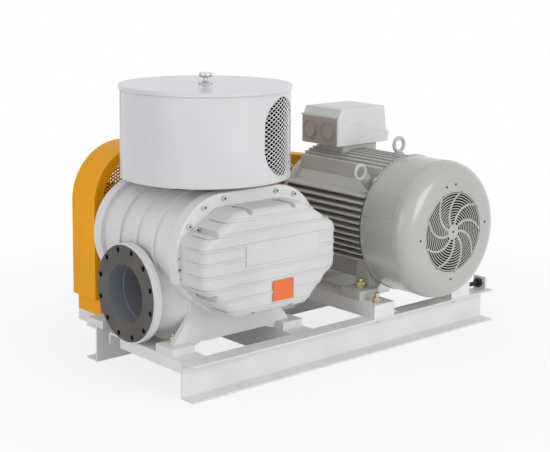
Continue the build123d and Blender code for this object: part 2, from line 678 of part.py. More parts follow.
MODULE = CENTRE_DISTANCE / GEAR_TEETH


def involute(angle):
    return tan(angle) - angle


def gear_outline(phase):
    """Involute spur gear outline about the origin; phase turns it, in degrees."""
    pitch_r = MODULE * GEAR_TEETH / 2
    base_r = pitch_r * cos(radians(PRESSURE_ANGLE))
    tip_r = pitch_r + 0.95 * MODULE
    root_r = pitch_r - 1.2 * MODULE
    half_tooth = pi / (2 * GEAR_TEETH) - BACKLASH / (2 * pitch_r)
    flank = []
    for i in range(3):
        r = root_r + (tip_r - root_r) * i / 2
        pressure = 0.0 if r <= base_r else sqrt(1 - (base_r / r) ** 2)
        alpha = atan2(pressure, base_r / r)
        flank.append((r, half_tooth + involute(radians(PRESSURE_ANGLE)) - involute(alpha)))
    points = []
    for tooth in range(GEAR_TEETH):
        middle = radians(phase) + 2 * pi * tooth / GEAR_TEETH
        for r, half in flank:
            points.append((r * cos(middle - half), r * sin(middle - half)))
        for r, half in reversed(flank):
            points.append((r * cos(middle + half), r * sin(middle + half)))
    return points


def timing_gear(x, phase):
    with BuildPart() as gear:
        teeth = [(x + gx, SHAFT_Z + gz) for gx, gz in gear_outline(phase)]
        extrude(outline(across(GEAR_Y0 + GEAR_WIDTH), teeth), amount=GEAR_WIDTH)
        revolve(tube_section(x, SHAFT_Z, GEAR_Y0, GEAR_HUB_Y1, 0, GEAR_HUB_R), axis=shaft_axis(x, SHAFT_Z))
        revolve(tube_section(x, SHAFT_Z, GEAR_END_Y, GEAR_HUB_Y1, 0, GEAR_SEAT_R),
                axis=shaft_axis(x, SHAFT_Z), mode=Mode.SUBTRACT)
        # lock nut on the shaft end
        extrude(hexagon(across(GEAR_Y0), (x, SHAFT_Z), 2 * GEAR_SEAT_R + 18), amount=16)
        extrude(disc(across(GEAR_Y0), (x, SHAFT_Z), GEAR_SEAT_R), amount=16, mode=Mode.SUBTRACT)
    return gear


save(timing_gear(DRIVE_X, 0), "drive_timing_gear")
save(timing_gear(DRIVEN_X, 180.0 / GEAR_TEETH), "driven_timing_gear")

# ================================================================ fasteners on the blower
SCREW_R = 8.0
SCREW_HEAD = 10.0
PLATE_BOLT_R = 170.0
PLATE_BOLTS = [(side * (CENTRE_DISTANCE / 2 + PLATE_BOLT_R * cos(radians(angle))),
                PLATE_BOLT_R * sin(radians(angle))) for angle in (90, 62, 35) for side in (-1, 1)]
with BuildPart() as cover_bolts:
    for x, z in COVER_BOLTS:
        extrude(disc(across(NOTCH_FLOOR), (BLOWER_X + x, SHAFT_Z + z), SCREW_R), amount=SCREW_HEAD)
    for x, z in PLATE_BOLTS:
        for y in (GEAR_PLATE_Y, DRIVE_PLATE_Y + SCREW_HEAD):
            extrude(disc(across(y), (BLOWER_X + x, SHAFT_Z + z), SCREW_R), amount=SCREW_HEAD)
save(cover_bolts, "cover_bolts")

FOOT_TOP = FRAME_HEIGHT + FOOT_THICKNESS
FOOT_BOLT_AT = [(x1 - FOOT_BOLT_INSET, y) for x0, x1 in FOOT_X_SPANS
                for y in (FOOT_Y_SPANS[0][1] - 17.0, FOOT_Y_SPANS[1][1] - 32.0)]
with BuildPart() as foot_bolts:
    for at in FOOT_BOLT_AT:
        extrude(disc(Plane.XY.offset(FOOT_TOP), at, 14), amount=3)
        extrude(hexagon(Plane.XY.offset(FOOT_TOP + 3), at, 24), amount=13)
        extrude(disc(Plane.XY.offset(FOOT_TOP + 16), at, 8), amount=9)
save(foot_bolts, "foot_bolts")

# ================================================================ suction silencer
BASE_TOP = SILENCER_Z0 + 6.0
with BuildPart() as silencer_base:
    extrude(disc(Plane.XY.offset(SUCTION_TOP), (BLOWER_X, PORT_Y), SUCTION_FLANGE_R), amount=12)
    extrude(disc(Plane.XY.offset(SUCTION_TOP), (BLOWER_X, PORT_Y), SUCTION_R + 8),
            amount=BASE_TOP - SUCTION_TOP + 30)
    extrude(disc(Plane.XY.offset(SILENCER_Z0), (BLOWER_X, PORT_Y), SILENCER_R - SILENCER_SHEET - 2), amount=6)
    extrude(disc(Plane.XY.offset(SUCTION_TOP), (BLOWER_X, PORT_Y), SUCTION_R), amount=200, mode=Mode.SUBTRACT)
    # spider that carries the centre stud
    with BuildSketch(Plane.XY.offset(BASE_TOP + 18)):
        with Locations((BLOWER_X, PORT_Y)):
            Rectangle(2 * SUCTION_R + 8, 16)
            Rectangle(16, 2 * SUCTION_R + 8)
    extrude(amount=10)
save(silencer_base, "silencer_base")

FILTER_R = 190.0
FILTER_INNER_R = 150.0
FILTER_HEIGHT = 240.0
with BuildPart() as filter_element:
    with BuildSketch(Plane.XY.offset(BASE_TOP)):
        with Locations((BLOWER_X, PORT_Y)):
            Circle(FILTER_R)
            Circle(FILTER_INNER_R, mode=Mode.SUBTRACT)
    extrude(amount=FILTER_HEIGHT)
    extrude(disc(Plane.XY.offset(BASE_TOP + FILTER_HEIGHT), (BLOWER_X, PORT_Y), FILTER_R), amount=8)
    extrude(disc(Plane.XY.offset(BASE_TOP), (BLOWER_X, PORT_Y), STUD_R + SLIDE_FIT),
            amount=FILTER_HEIGHT + 8, mode=Mode.SUBTRACT)
save(filter_element, "filter_element")

LID_TOP = SILENCER_TOP
STUD_TOP = LID_TOP + 30.0
with BuildPart() as silencer_stud:
    extrude(disc(Plane.XY.offset(BASE_TOP + 28), (BLOWER_X, PORT_Y), STUD_R), amount=STUD_TOP - BASE_TOP - 28)
save(silencer_stud, "silencer_stud")

WINDOW_DIR = (cos(radians(WINDOW_ANGLE)), sin(radians(WINDOW_ANGLE)), 0)
WINDOW_Z = SILENCER_Z0 + SILENCER_HEIGHT / 2 - 4.0
WINDOW_PLANE = Plane(origin=(BLOWER_X, PORT_Y, WINDOW_Z), x_dir=(-WINDOW_DIR[1], WINDOW_DIR[0], 0),
                     z_dir=WINDOW_DIR)


def window_cutter(margin):
    with BuildPart() as cutter:
        with BuildSketch(WINDOW_PLANE):
            SlotOverall(WINDOW_HEIGHT + 2 * margin, WINDOW_WIDTH + 2 * margin, rotation=90)
        extrude(amount=SILENCER_R + 20)
    return cutter.part


with BuildPart() as silencer_drum:
    with BuildSketch(Plane.XY.offset(SILENCER_Z0)):
        with Locations((BLOWER_X, PORT_Y)):
            Circle(SILENCER_R)
            Circle(SILENCER_R - SILENCER_SHEET, mode=Mode.SUBTRACT)
    extrude(amount=SILENCER_HEIGHT - SILENCER_SHEET)
    add(window_cutter(0), mode=Mode.SUBTRACT)
save(silencer_drum, "silencer_drum")

with BuildPart() as silencer_mesh:
    with BuildSketch(Plane.XY.offset(SILENCER_Z0 + 4)):
        with Locations((BLOWER_X, PORT_Y)):
            Circle(SILENCER_R - SILENCER_SHEET)
            Circle(SILENCER_R - SILENCER_SHEET - 1.5, mode=Mode.SUBTRACT)
    extrude(amount=SILENCER_HEIGHT - SILENCER_SHEET - 8)
    add(window_cutter(8), mode=Mode.INTERSECT)
save(silencer_mesh, "silencer_mesh")

with BuildPart() as silencer_lid:
    extrude(disc(Plane.XY.offset(LID_TOP - SILENCER_SHEET), (BLOWER_X, PORT_Y), SILENCER_R + LID_OVERHANG),
            amount=SILENCER_SHEET)
    with BuildSketch(Plane.XY.offset(LID_TOP - LID_LIP)):
        with Locations((BLOWER_X, PORT_Y)):
            Circle(SILENCER_R + LID_OVERHANG)
            Circle(SILENCER_R + 0.4, mode=Mode.SUBTRACT)
    extrude(amount=LID_LIP)
    extrude(disc(Plane.XY.offset(LID_TOP), (BLOWER_X, PORT_Y), 24), amount=4)
    extrude(disc(Plane.XY.offset(LID_TOP - LID_LIP), (BLOWER_X, PORT_Y), STUD_R + SLIDE_FIT),
            amount=LID_LIP + 4, mode=Mode.SUBTRACT)
save(silencer_lid, "silencer_lid")

KNOB_Z = LID_TOP + 4.0
with BuildPart() as silencer_knob:
    extrude(disc(Plane.XY.offset(KNOB_Z), (BLOWER_X, PORT_Y), 12), amount=12)
    with BuildSketch(Plane.XY.offset(KNOB_Z + 12)):
        with Locations((BLOWER_X, PORT_Y)):
            RegularPolygon(22, 8)
    extrude(amount=22)
    extrude(disc(Plane.XY.offset(KNOB_Z), (BLOWER_X, PORT_Y), STUD_R + RUNNING_FIT),
            amount=STUD_TOP - KNOB_Z + 1, mode=Mode.SUBTRACT)
save(silencer_knob, "silencer_knob")

# ================================================================ belt drive
GROOVE_TOP = BELT_TOP / 2 + BELT_CLEARANCE
GROOVE_FLOOR = 4.6
GROOVE_DEPTH = 17.5


def groove_y(index):
    return PULLEY_Y + (index + 0.5) * BELT_PITCH


def pulley_section(x, z, radius, bore):
    """Grooved rim, web and hub in one turned face."""
    y0 = PULLEY_Y
    y1 = PULLEY_END_Y
    rim = radius - 36.0
    hub = bore + 24.0
    web = 11.0
    middle = (y0 + y1) / 2
    points = [(y0, bore), (y0, hub), (middle - web, hub), (middle - web, rim), (y0, rim), (y0, radius)]
    for i in range(BELTS):
        c = groove_y(i)
        points += [(c - GROOVE_TOP, radius), (c - GROOVE_FLOOR, radius - GROOVE_DEPTH),
                   (c + GROOVE_FLOOR, radius - GROOVE_DEPTH), (c + GROOVE_TOP, radius)]
    points += [(y1, radius), (y1, rim), (middle + web, rim), (middle + web, hub), (y1, hub), (y1, bore)]
    return turned(x, z, points)


with BuildPart() as blower_pulley:
    revolve(pulley_section(DRIVE_X, SHAFT_Z, BLOWER_PULLEY_R, GEAR_SEAT_R),
            axis=shaft_axis(DRIVE_X, SHAFT_Z))
save(blower_pulley, "blower_pulley")

with BuildPart() as motor_pulley:
    revolve(pulley_section(MOTOR_X, MOTOR_Z, MOTOR_PULLEY_R, MOTOR_SHAFT_R),
            axis=shaft_axis(MOTOR_X, MOTOR_Z))
save(motor_pulley, "motor_pulley")


def belt_path(y, offset):
    """Open-belt loop round both pulleys; offset is the loop's distance inside the rims."""
    r1 = BLOWER_PULLEY_R - offset
    r2 = MOTOR_PULLEY_R - offset
    dx = MOTOR_X - DRIVE_X
    dz = MOTOR_Z - SHAFT_Z
    tilt = atan2(dz, dx)
    lean = atan2(r1 - r2, sqrt(dx ** 2 + dz ** 2 - (r1 - r2) ** 2))

    def blower_rim(angle):
        return DRIVE_X + r1 * cos(angle), y, SHAFT_Z + r1 * sin(angle)

    def motor_rim(angle):
        return MOTOR_X + r2 * cos(angle), y, MOTOR_Z + r2 * sin(angle)

    up = tilt + pi / 2 - lean
    down = tilt - pi / 2 + lean
    with BuildLine() as loop:
        Line(blower_rim(up), motor_rim(up))
        ThreePointArc(motor_rim(up), motor_rim(tilt), motor_rim(down))
        Line(motor_rim(down), blower_rim(down))
        ThreePointArc(blower_rim(down), blower_rim(tilt + pi), blower_rim(up))
    return loop.wire()


BELT_SEAT = 1.0
GROOVE_SLOPE = (GROOVE_TOP - GROOVE_FLOOR) / GROOVE_DEPTH
BELT_HALF_TOP = GROOVE_TOP - GROOVE_SLOPE * BELT_SEAT - BELT_CLEARANCE
BELT_HALF_LOW = BELT_HALF_TOP - GROOVE_SLOPE * BELT_DEPTH
with BuildPart() as v_belts:
    for i in range(BELTS):
        path = belt_path(groove_y(i), BELT_SEAT)
        section = outline(Plane(origin=path @ 0, x_dir=(0, 1, 0), z_dir=path % 0), [
            (-BELT_HALF_TOP, 0), (BELT_HALF_TOP, 0),
            (BELT_HALF_LOW, -BELT_DEPTH), (-BELT_HALF_LOW, -BELT_DEPTH)])
        sweep(section, path=path)
save(v_belts, "v_belts")

# ================================================================ belt guard
GUARD_X = FRAME_X0 + 255.0
GUARD_TOP_Z = 518.0
GUARD_BOTTOM = 186.0
GUARD_END_R = 165.0
GUARD_END_X = MOTOR_X + TRAVEL_OUT
STEP_X = FRAME_X0 + 75.0
STEP_Z = 126.0


def guard_outline(y, inset):
    """Side outline of the guard: round blower end, sloping top, round motor end, stepped foot."""
    r1 = GUARD_R - inset
    r2 = GUARD_END_R - inset
    dx = GUARD_END_X - GUARD_X
    dz = MOTOR_Z - GUARD_TOP_Z
    span = hypot(dx, dz)
    up = atan2(dz, dx) + pi / 2 - atan2(r1 - r2, sqrt(span ** 2 - (r1 - r2) ** 2))
    low = GUARD_BOTTOM + inset
    foot_x = STEP_X + inset
    foot_x1 = STEP_X + 120.0 - inset
    foot_z = STEP_Z + inset
    top1 = (GUARD_X + r1 * cos(up), GUARD_TOP_Z + r1 * sin(up))
    top2 = (GUARD_END_X + r2 * cos(up), MOTOR_Z + r2 * sin(up))
    half = (up + pi) / 2
    with BuildSketch(across(y)) as side:
        with BuildLine():
            Line(top1, top2)
            ThreePointArc(top2, (GUARD_END_X + r2 * cos(up / 2), MOTOR_Z + r2 * sin(up / 2)),
                          (GUARD_END_X + r2, MOTOR_Z))
            Polyline((GUARD_END_X + r2, MOTOR_Z), (GUARD_END_X + r2, low), (foot_x1, low), (foot_x1, foot_z),
                     (foot_x, foot_z), (foot_x, low), (GUARD_X - r1, low), (GUARD_X - r1, GUARD_TOP_Z))
            ThreePointArc((GUARD_X - r1, GUARD_TOP_Z),
                          (GUARD_X + r1 * cos(half), GUARD_TOP_Z + r1 * sin(half)), top1)
        make_face()
    return side.sketch


def shaft_openings(y):
    """Holes in the guard's inner side for the blower shaft and, slotted for its travel, the motor end."""
    with BuildSketch(across(y)) as holes:
        with Locations((DRIVE_X, SHAFT_Z)):
            Circle(SHAFT_R + 12)
        with Locations((MOTOR_X + (TRAVEL_OUT - TRAVEL_IN) / 2, MOTOR_Z)):
            SlotCenterToCenter(TRAVEL_IN + TRAVEL_OUT, 2 * (MOTOR_SHAFT_R + 40))
    return holes.sketch


# sheet wrapped round the whole outline
with BuildPart() as belt_guard:
    extrude(guard_outline(GUARD_Y1, 0), amount=GUARD_Y1 - GUARD_Y0)
    extrude(guard_outline(GUARD_Y1, GUARD_SHEET), amount=GUARD_Y1 - GUARD_Y0, mode=Mode.SUBTRACT)
save(belt_guard, "belt_guard")

# flat frames that hold the mesh panels in the wrap's two sides
with BuildPart() as guard_borders:
    for y in (GUARD_Y0 + GUARD_SHEET, GUARD_Y1):
        extrude(guard_outline(y, GUARD_SHEET), amount=GUARD_SHEET)
        extrude(guard_outline(y, GUARD_BORDER), amount=GUARD_SHEET, mode=Mode.SUBTRACT)
save(guard_borders, "guard_borders")

MESH_SHEET = 1.5
with BuildPart() as guard_inner_mesh:
    y = GUARD_Y0 + GUARD_SHEET + MESH_SHEET
    extrude(guard_outline(y, GUARD_SHEET), amount=MESH_SHEET)
    extrude(shaft_openings(y), amount=MESH_SHEET, mode=Mode.SUBTRACT)
save(guard_inner_mesh, "guard_inner_mesh")

with BuildPart() as guard_outer_mesh:
    extrude(guard_outline(GUARD_Y1 - GUARD_SHEET, GUARD_SHEET), amount=MESH_SHEET)
save(guard_outer_mesh, "guard_outer_mesh")

BRACKET_PLATE = 6.0
BRACKET_LOW = 85.0
BRACKET_FLANGE = 60.0
BRACKET_XS = (STEP_X, FRAME_X0 + 1175.0)
with BuildPart() as guard_brackets:
    # the stepped foot of the guard stands on the first bracket, its straight bottom on the second
    for x, top in zip(BRACKET_XS, (STEP_Z, GUARD_BOTTOM)):
        under = FRAME_HEIGHT - FRAME_PLATE
        extrude(outline(along(x), [
            (REAR_WEB_Y + FRAME_PLATE, BRACKET_LOW), (GUARD_Y1, BRACKET_LOW),
            (GUARD_Y1, top), (FRAME_Y1, top),
            (FRAME_Y1, under), (REAR_WEB_Y + FRAME_PLATE, under)]), amount=BRACKET_PLATE)
        with BuildSketch(Plane.XY.offset(top)):
            with Locations((x + BRACKET_FLANGE / 2, (FRAME_Y1 + GUARD_Y1) / 2)):
                Rectangle(BRACKET_FLANGE, GUARD_Y1 - FRAME_Y1)
        extrude(amount=-BRACKET_PLATE)
save(guard_brackets, "guard_brackets")

# ================================================================ motor carriage
RAIL_Y0 = FRAME_Y0 + 4.0
RAIL_Y1 = FRAME_Y1 - 4.0
with BuildPart() as motor_rails:
    for x in RAIL_XS:
        x0 = x - RAIL_WIDTH / 2
        x1 = x + RAIL_WIDTH / 2
        t = RAIL_PLATE
        section = outline(across(RAIL_Y1), [
            (x0, FRAME_HEIGHT), (x0 + t, FRAME_HEIGHT), (x0 + t, RAIL_TOP - t), (x1 - t, RAIL_TOP - t),
            (x1 - t, FRAME_HEIGHT), (x1, FRAME_HEIGHT), (x1, RAIL_TOP), (x0, RAIL_TOP)])
        extrude(section, amount=RAIL_Y1 - RAIL_Y0)
        # closed ends
        for y in (RAIL_Y0 + t, RAIL_Y1):
            with BuildSketch(across(y)):
                with Locations((x, FRAME_HEIGHT + RAIL_HEIGHT / 2)):
                    Rectangle(RAIL_WIDTH, RAIL_HEIGHT)
            extrude(amount=t)
        with BuildSketch(Plane.XY.offset(RAIL_TOP)):
            with Locations(*[(x - 10, y) for y in (FRAME_Y0 + ANCHOR_GAUGE, FRAME_Y1 - ANCHOR_GAUGE)]):
                Circle(TENSION_BOLT_R + SLIDE_FIT)
        extrude(amount=-t, mode=Mode.SUBTRACT)
    # nuts welded on the far side of the second rail for the tension bolts
    for y in TENSION_YS:
        extrude(hexagon(along(RAIL_SIDE_X), (y, TENSION_Z), NUT_FLATS), amount=NUT_THICKNESS)
        extrude(disc(along(RAIL_SIDE_X - RAIL_PLATE), (y, TENSION_Z), TENSION_BOLT_R + SLIDE_FIT),
                amount=RAIL_PLATE + NUT_THICKNESS, mode=Mode.SUBTRACT)
save(motor_rails, "motor_rails")

with BuildPart() as rail_bolts:
    low = FRAME_HEIGHT - FRAME_PLATE
    for x in RAIL_XS:
        for y in (FRAME_Y0 + ANCHOR_GAUGE, FRAME_Y1 - ANCHOR_GAUGE):
            at = (x - 10, y)
            extrude(disc(Plane.XY.offset(low - 16), at, TENSION_BOLT_R), amount=RAIL_TOP - low + 16 + 34)
            extrude(hexagon(Plane.XY.offset(low - 0.3), at, 24), amount=-11)
            extrude(disc(Plane.XY.offset(RAIL_TOP), at, 15), amount=3)
            extrude(hexagon(Plane.XY.offset(RAIL_TOP + 3), at, 24), amount=14)
save(rail_bolts, "rail_bolts")

FRAME_BODY_Y0 = COWL_FACE_Y + COWL_LENGTH + 14.0
FRAME_BODY_Y1 = SHOULDER_Y - 70.0
CORE_R = 196.0
FIN_R = 240.0
FIN = 7.0
SIDE_FIN_PITCH = 23.0
SIDE_FINS = 11
TOP_FINS = 13
TOP_FIN_PITCH = 20.0
FOOT_PAD = 34.0
FOOT_PAD_X = 92.0
FOOT_PAD_HALF = 48.0
FOOT_WEB_Y0 = -20.0       # web of each foot, from its hole
FOOT_WEB_Y1 = 44.0
EYE_Y = FRAME_BODY_Y0 + 42.0
EYE_ANGLES = (90.0, 135.0)
EYE_BOSS_R = 20.0
STATOR_R = 176.0


def eye_plane(angle, radius):
    """Plane facing away from the motor's axis at an eye bolt, with local x along +Y."""
    a = radians(angle)
    return Plane(origin=(MOTOR_X + radius * cos(a), EYE_Y, MOTOR_Z + radius * sin(a)),
                 x_dir=(0, 1, 0), z_dir=(cos(a), 0, sin(a)))


def fin_profile(y):
    """Motor frame end view: round shell, level fins at both sides, upright fins at top and bottom."""
    with BuildSketch(across(y)) as side:
        with Locations((MOTOR_X, MOTOR_Z)):
            with GridLocations(1, SIDE_FIN_PITCH, 1, SIDE_FINS):
                Rectangle(2 * FIN_R, FIN)
    with BuildSketch(across(y)) as upright:
        with Locations((MOTOR_X, MOTOR_Z)):
            with GridLocations(TOP_FIN_PITCH, 1, TOP_FINS, 1):
                Rectangle(FIN, 2 * FIN_R)
    with BuildSketch(across(y)) as envelope:
        with Locations((MOTOR_X, MOTOR_Z)):
            Circle(FIN_R)
    with BuildSketch(across(y)) as shell:
        add(side.sketch)
        add(upright.sketch)
        add(envelope.sketch, mode=Mode.INTERSECT)
        with Locations((MOTOR_X, MOTOR_Z)):
            Circle(CORE_R)
            Circle(STATOR_R, mode=Mode.SUBTRACT)
    return shell.sketch


BOX_X0 = FRAME_X0 + 930.0
BOX_X1 = BOX_X0 + 272.0
BOX_Y0 = FRAME_Y0 + 340.0
BOX_Y1 = BOX_Y0 + 200.0
BOX_Z0 = 676.0
NECK_INSET = 46.0

with BuildPart() as motor_frame:
    extrude(fin_profile(FRAME_BODY_Y1), amount=FRAME_BODY_Y1 - FRAME_BODY_Y0)
    # feet with webs to the shell
    for side in (-1, 1):
        outer = MOTOR_X + side * FOOT_OVERALL_X / 2
        for y in FOOT_YS:
            with BuildSketch(across(y + FOOT_PAD_HALF)):
                with Locations((outer - side * FOOT_PAD_X / 2, RAIL_TOP + FOOT_PAD / 2)):
                    Rectangle(FOOT_PAD_X, FOOT_PAD)
            extrude(amount=2 * FOOT_PAD_HALF)
            with BuildSketch(across(y + FOOT_WEB_Y1)):
                with BuildLine():
                    Polyline((outer - side * 74, RAIL_TOP), (outer - side * 74, MOTOR_Z - 112),
                             (outer - side * 40, MOTOR_Z - 40), (outer - side * 130, MOTOR_Z - 40),
                             (outer - side * 150, RAIL_TOP + 50),
                             (outer - side * FOOT_PAD_X, RAIL_TOP), close=True)
                make_face()
                with Locations((MOTOR_X, MOTOR_Z)):
                    Circle(CORE_R - 6, mode=Mode.SUBTRACT)
            extrude(amount=FOOT_WEB_Y1 - FOOT_WEB_Y0)
            with BuildSketch(Plane.XY.offset(RAIL_TOP)):
                with Locations((MOTOR_X + side * FOOT_SPACING_X / 2, y)):
                    Circle(12)
            extrude(amount=FOOT_PAD, mode=Mode.SUBTRACT)
    # bosses for the eye bolts
    for angle in EYE_ANGLES:
        extrude(disc(eye_plane(angle, CORE_R - 12), (0, 0), EYE_BOSS_R), amount=FIN_R + 2 - CORE_R + 12)
    # neck of the terminal box
    with BuildSketch(Plane.XY.offset(MOTOR_Z + CORE_R - 8)):
        with Locations(((BOX_X0 + BOX_X1) / 2, (BOX_Y0 + BOX_Y1) / 2 - 20)):
            RectangleRounded(BOX_X1 - BOX_X0 - 2 * NECK_INSET, 130, 14)
    extrude(amount=BOX_Z0 - MOTOR_Z - CORE_R + 8)
    extrude(disc(across(FRAME_BODY_Y1), (MOTOR_X, MOTOR_Z), STATOR_R), amount=FRAME_BODY_Y1 - FRAME_BODY_Y0,
            mode=Mode.SUBTRACT)
save(motor_frame, "motor_frame")

SPIGOT_Y1 = SHOULDER_Y - 4.0
with BuildPart() as drive_endshield:
    y0 = FRAME_BODY_Y1
    revolve(turned(MOTOR_X, MOTOR_Z, [
        (y0, 64), (y0, 214), (y0 + 18, 214), (y0 + 34, 130), (y0 + 48, 84), (SPIGOT_Y1, 76),
        (SPIGOT_Y1, MOTOR_SHAFT_R + 1.5), (SPIGOT_Y1 - 12, MOTOR_SHAFT_R + 1.5), (SPIGOT_Y1 - 12, 64)]),
        axis=shaft_axis(MOTOR_X, MOTOR_Z))
save(drive_endshield, "drive_endshield")

NDE_Y = FRAME_BODY_Y0
REAR_SHIELD_R = 206.0
with BuildPart() as rear_endshield:
    revolve(turned(MOTOR_X, MOTOR_Z, [
        (NDE_Y, 64), (NDE_Y, REAR_SHIELD_R), (NDE_Y - 16, REAR_SHIELD_R),
        (NDE_Y - 40, 84), (NDE_Y - 40, MOTOR_SHAFT_R + 1.5),
        (NDE_Y - 30, MOTOR_SHAFT_R + 1.5), (NDE_Y - 30, 64)]), axis=shaft_axis(MOTOR_X, MOTOR_Z))
save(rear_endshield, "rear_endshield")

AIR_GAP = 0.8
ROTOR_CORE_R = 118.0
STACK_Y0 = FRAME_BODY_Y0 + 46.0
STACK_Y1 = FRAME_BODY_Y1 - 46.0
with BuildPart() as stator_core:
    revolve(tube_section(MOTOR_X, MOTOR_Z, STACK_Y0, STACK_Y1, ROTOR_CORE_R + AIR_GAP, STATOR_R),
            axis=shaft_axis(MOTOR_X, MOTOR_Z))
save(stator_core, "stator_core")

with BuildPart() as motor_rotor_core:
    revolve(tube_section(MOTOR_X, MOTOR_Z, STACK_Y0 - 14, STACK_Y1 + 14, 45, ROTOR_CORE_R),
            axis=shaft_axis(MOTOR_X, MOTOR_Z))
save(motor_rotor_core, "motor_rotor_core")

# ball bearings of the motor, as closed ring pairs
MOTOR_BEARING_W = 20.0
MOTOR_BEARING_YS = (NDE_Y - 28.0, SPIGOT_Y1 - 14.0 - MOTOR_BEARING_W)
with BuildPart() as motor_bearings:
    for y in MOTOR_BEARING_YS:
        revolve(tube_section(MOTOR_X, MOTOR_Z, y, y + MOTOR_BEARING_W, MOTOR_SHAFT_R + 12, 64),
                axis=shaft_axis(MOTOR_X, MOTOR_Z))
save(motor_bearings, "motor_bearings")

FAN_Y0 = COWL_FACE_Y + 34.0
FAN_Y1 = FAN_Y0 + 72.0
JOURNAL_R = MOTOR_SHAFT_R + 12 - RUNNING_FIT
with BuildPart() as motor_shaft:
    b0, b1 = MOTOR_BEARING_YS
    revolve(turned(MOTOR_X, MOTOR_Z, [
        (FAN_Y0, 0), (FAN_Y0, 24), (b0 - 4, 24), (b0 - 4, MOTOR_SHAFT_R), (b0, MOTOR_SHAFT_R),
        (b0, JOURNAL_R), (b0 + MOTOR_BEARING_W + 6, JOURNAL_R), (b0 + MOTOR_BEARING_W + 6, 45),
        (b1 - 6, 45), (b1 - 6, JOURNAL_R), (b1 + MOTOR_BEARING_W, JOURNAL_R),
        (b1 + MOTOR_BEARING_W, MOTOR_SHAFT_R), (MOTOR_SHAFT_END, MOTOR_SHAFT_R), (MOTOR_SHAFT_END, 0)]),
        axis=shaft_axis(MOTOR_X, MOTOR_Z))
save(motor_shaft, "motor_shaft")

FAN_BLADES = 9
FAN_R = 182.0
with BuildPart() as cooling_fan:
    revolve(turned(MOTOR_X, MOTOR_Z, [(FAN_Y0, 24), (FAN_Y0, 42), (FAN_Y1 - 10, 42), (FAN_Y1 - 6, 120),
                                      (FAN_Y1 - 6, FAN_R), (FAN_Y1, FAN_R), (FAN_Y1, 24)]),
            axis=shaft_axis(MOTOR_X, MOTOR_Z))
    with BuildSketch(across(FAN_Y1 - 5)):
        with Locations((MOTOR_X, MOTOR_Z)):
            with PolarLocations((FAN_R + 38) / 2, FAN_BLADES):
                Rectangle(FAN_R - 42, 4)
    extrude(amount=50)
save(cooling_fan, "cooling_fan")

# fan cowl: plain sheet drum with a wide rounded shoulder
COWL_Y1 = COWL_FACE_Y + COWL_LENGTH
COWL_TAB_AT = (COWL_R - COWL_SHEET / 2 + REAR_SHIELD_R) / 2


def cowl_face(inset):
    """Half section of the cowl's outer form, drawn in by inset."""
    y0 = COWL_FACE_Y + inset
    r = COWL_R - inset
    s = COWL_SHOULDER - inset
    with BuildSketch(shaft_plane(MOTOR_X, MOTOR_Z)) as half:
        with BuildLine():
            Line((COWL_Y1, 0), (y0, 0))
            Line((y0, 0), (y0, r - s))
            ThreePointArc((y0, r - s), (y0 + s * (1 - cos(pi / 4)), r - s + s * sin(pi / 4)), (y0 + s, r))
            Line((y0 + s, r), (COWL_Y1, r))
            Line((COWL_Y1, r), (COWL_Y1, 0))
        make_face()
    return half.sketch


with BuildPart() as fan_cowl:
    revolve(cowl_face(0), axis=shaft_axis(MOTOR_X, MOTOR_Z))
    revolve(cowl_face(COWL_SHEET), axis=shaft_axis(MOTOR_X, MOTOR_Z), mode=Mode.SUBTRACT)
    extrude(disc(across(COWL_FACE_Y), (MOTOR_X, MOTOR_Z), GRILLE_R), amount=-COWL_SHEET, mode=Mode.SUBTRACT)
    # rolled rim at the open end
    revolve(tube_section(MOTOR_X, MOTOR_Z, COWL_Y1 - 5, COWL_Y1, COWL_R, COWL_R + 3),
            axis=shaft_axis(MOTOR_X, MOTOR_Z))
    # tabs that reach in to the rear endshield
    for angle in range(4):
        a = radians(45 + 90 * angle)
        tab = Location((MOTOR_X + COWL_TAB_AT * cos(a), MOTOR_Z + COWL_TAB_AT * sin(a)), degrees(a))
        with BuildSketch(across(COWL_Y1 + 14)):
            with Locations(tab):
                Rectangle(COWL_R - COWL_SHEET / 2 - REAR_SHIELD_R, 24)
        extrude(amount=24)
save(fan_cowl, "fan_cowl")

SPOKE_SWEEP = 52.0        # degrees that each spoke runs on from boss to rim
SPOKE_LEAN = 0.5          # radians between a spoke and the radius through it


def spoke_edge(spoke, side):
    """Three points of one edge of a curved spoke, from the boss to the rim."""
    points = []
    for share in (0.0, 0.5, 1.0):
        r = GRILLE_BOSS_R - 3 + (GRILLE_R - GRILLE_BOSS_R) * share
        a = 2 * pi * spoke / GRILLE_SPOKES + radians(SPOKE_SWEEP) * share ** 1.5
        points.append((MOTOR_X + r * cos(a) - side * GRILLE_BAR / 2 * sin(a + SPOKE_LEAN),
                       MOTOR_Z + r * sin(a) + side * GRILLE_BAR / 2 * cos(a + SPOKE_LEAN)))
    return points


with BuildPart() as fan_grille:
    with BuildSketch(across(COWL_FACE_Y)):
        with Locations((MOTOR_X, MOTOR_Z)):
            Circle(GRILLE_R)
            Circle(GRILLE_R - GRILLE_BAR, mode=Mode.SUBTRACT)
            Circle(GRILLE_BOSS_R)
        pitch = (GRILLE_R - GRILLE_BOSS_R) / (GRILLE_RINGS + 1)
        for ring in range(GRILLE_RINGS):
            radius = GRILLE_BOSS_R + (ring + 1) * pitch
            with BuildSketch(across(COWL_FACE_Y), mode=Mode.PRIVATE) as hoop:
                with Locations((MOTOR_X, MOTOR_Z)):
                    Circle(radius)
                    Circle(radius - GRILLE_BAR * 0.8, mode=Mode.SUBTRACT)
            add(hoop.sketch_local)
        for spoke in range(GRILLE_SPOKES):
            left = spoke_edge(spoke, 1)
            right = spoke_edge(spoke, -1)
            with BuildLine():
                ThreePointArc(*left)
                Line(left[-1], right[-1])
                ThreePointArc(*reversed(right))
                Line(right[0], left[0])
            make_face()
    extrude(amount=-COWL_SHEET)
save(fan_grille, "fan_grille")

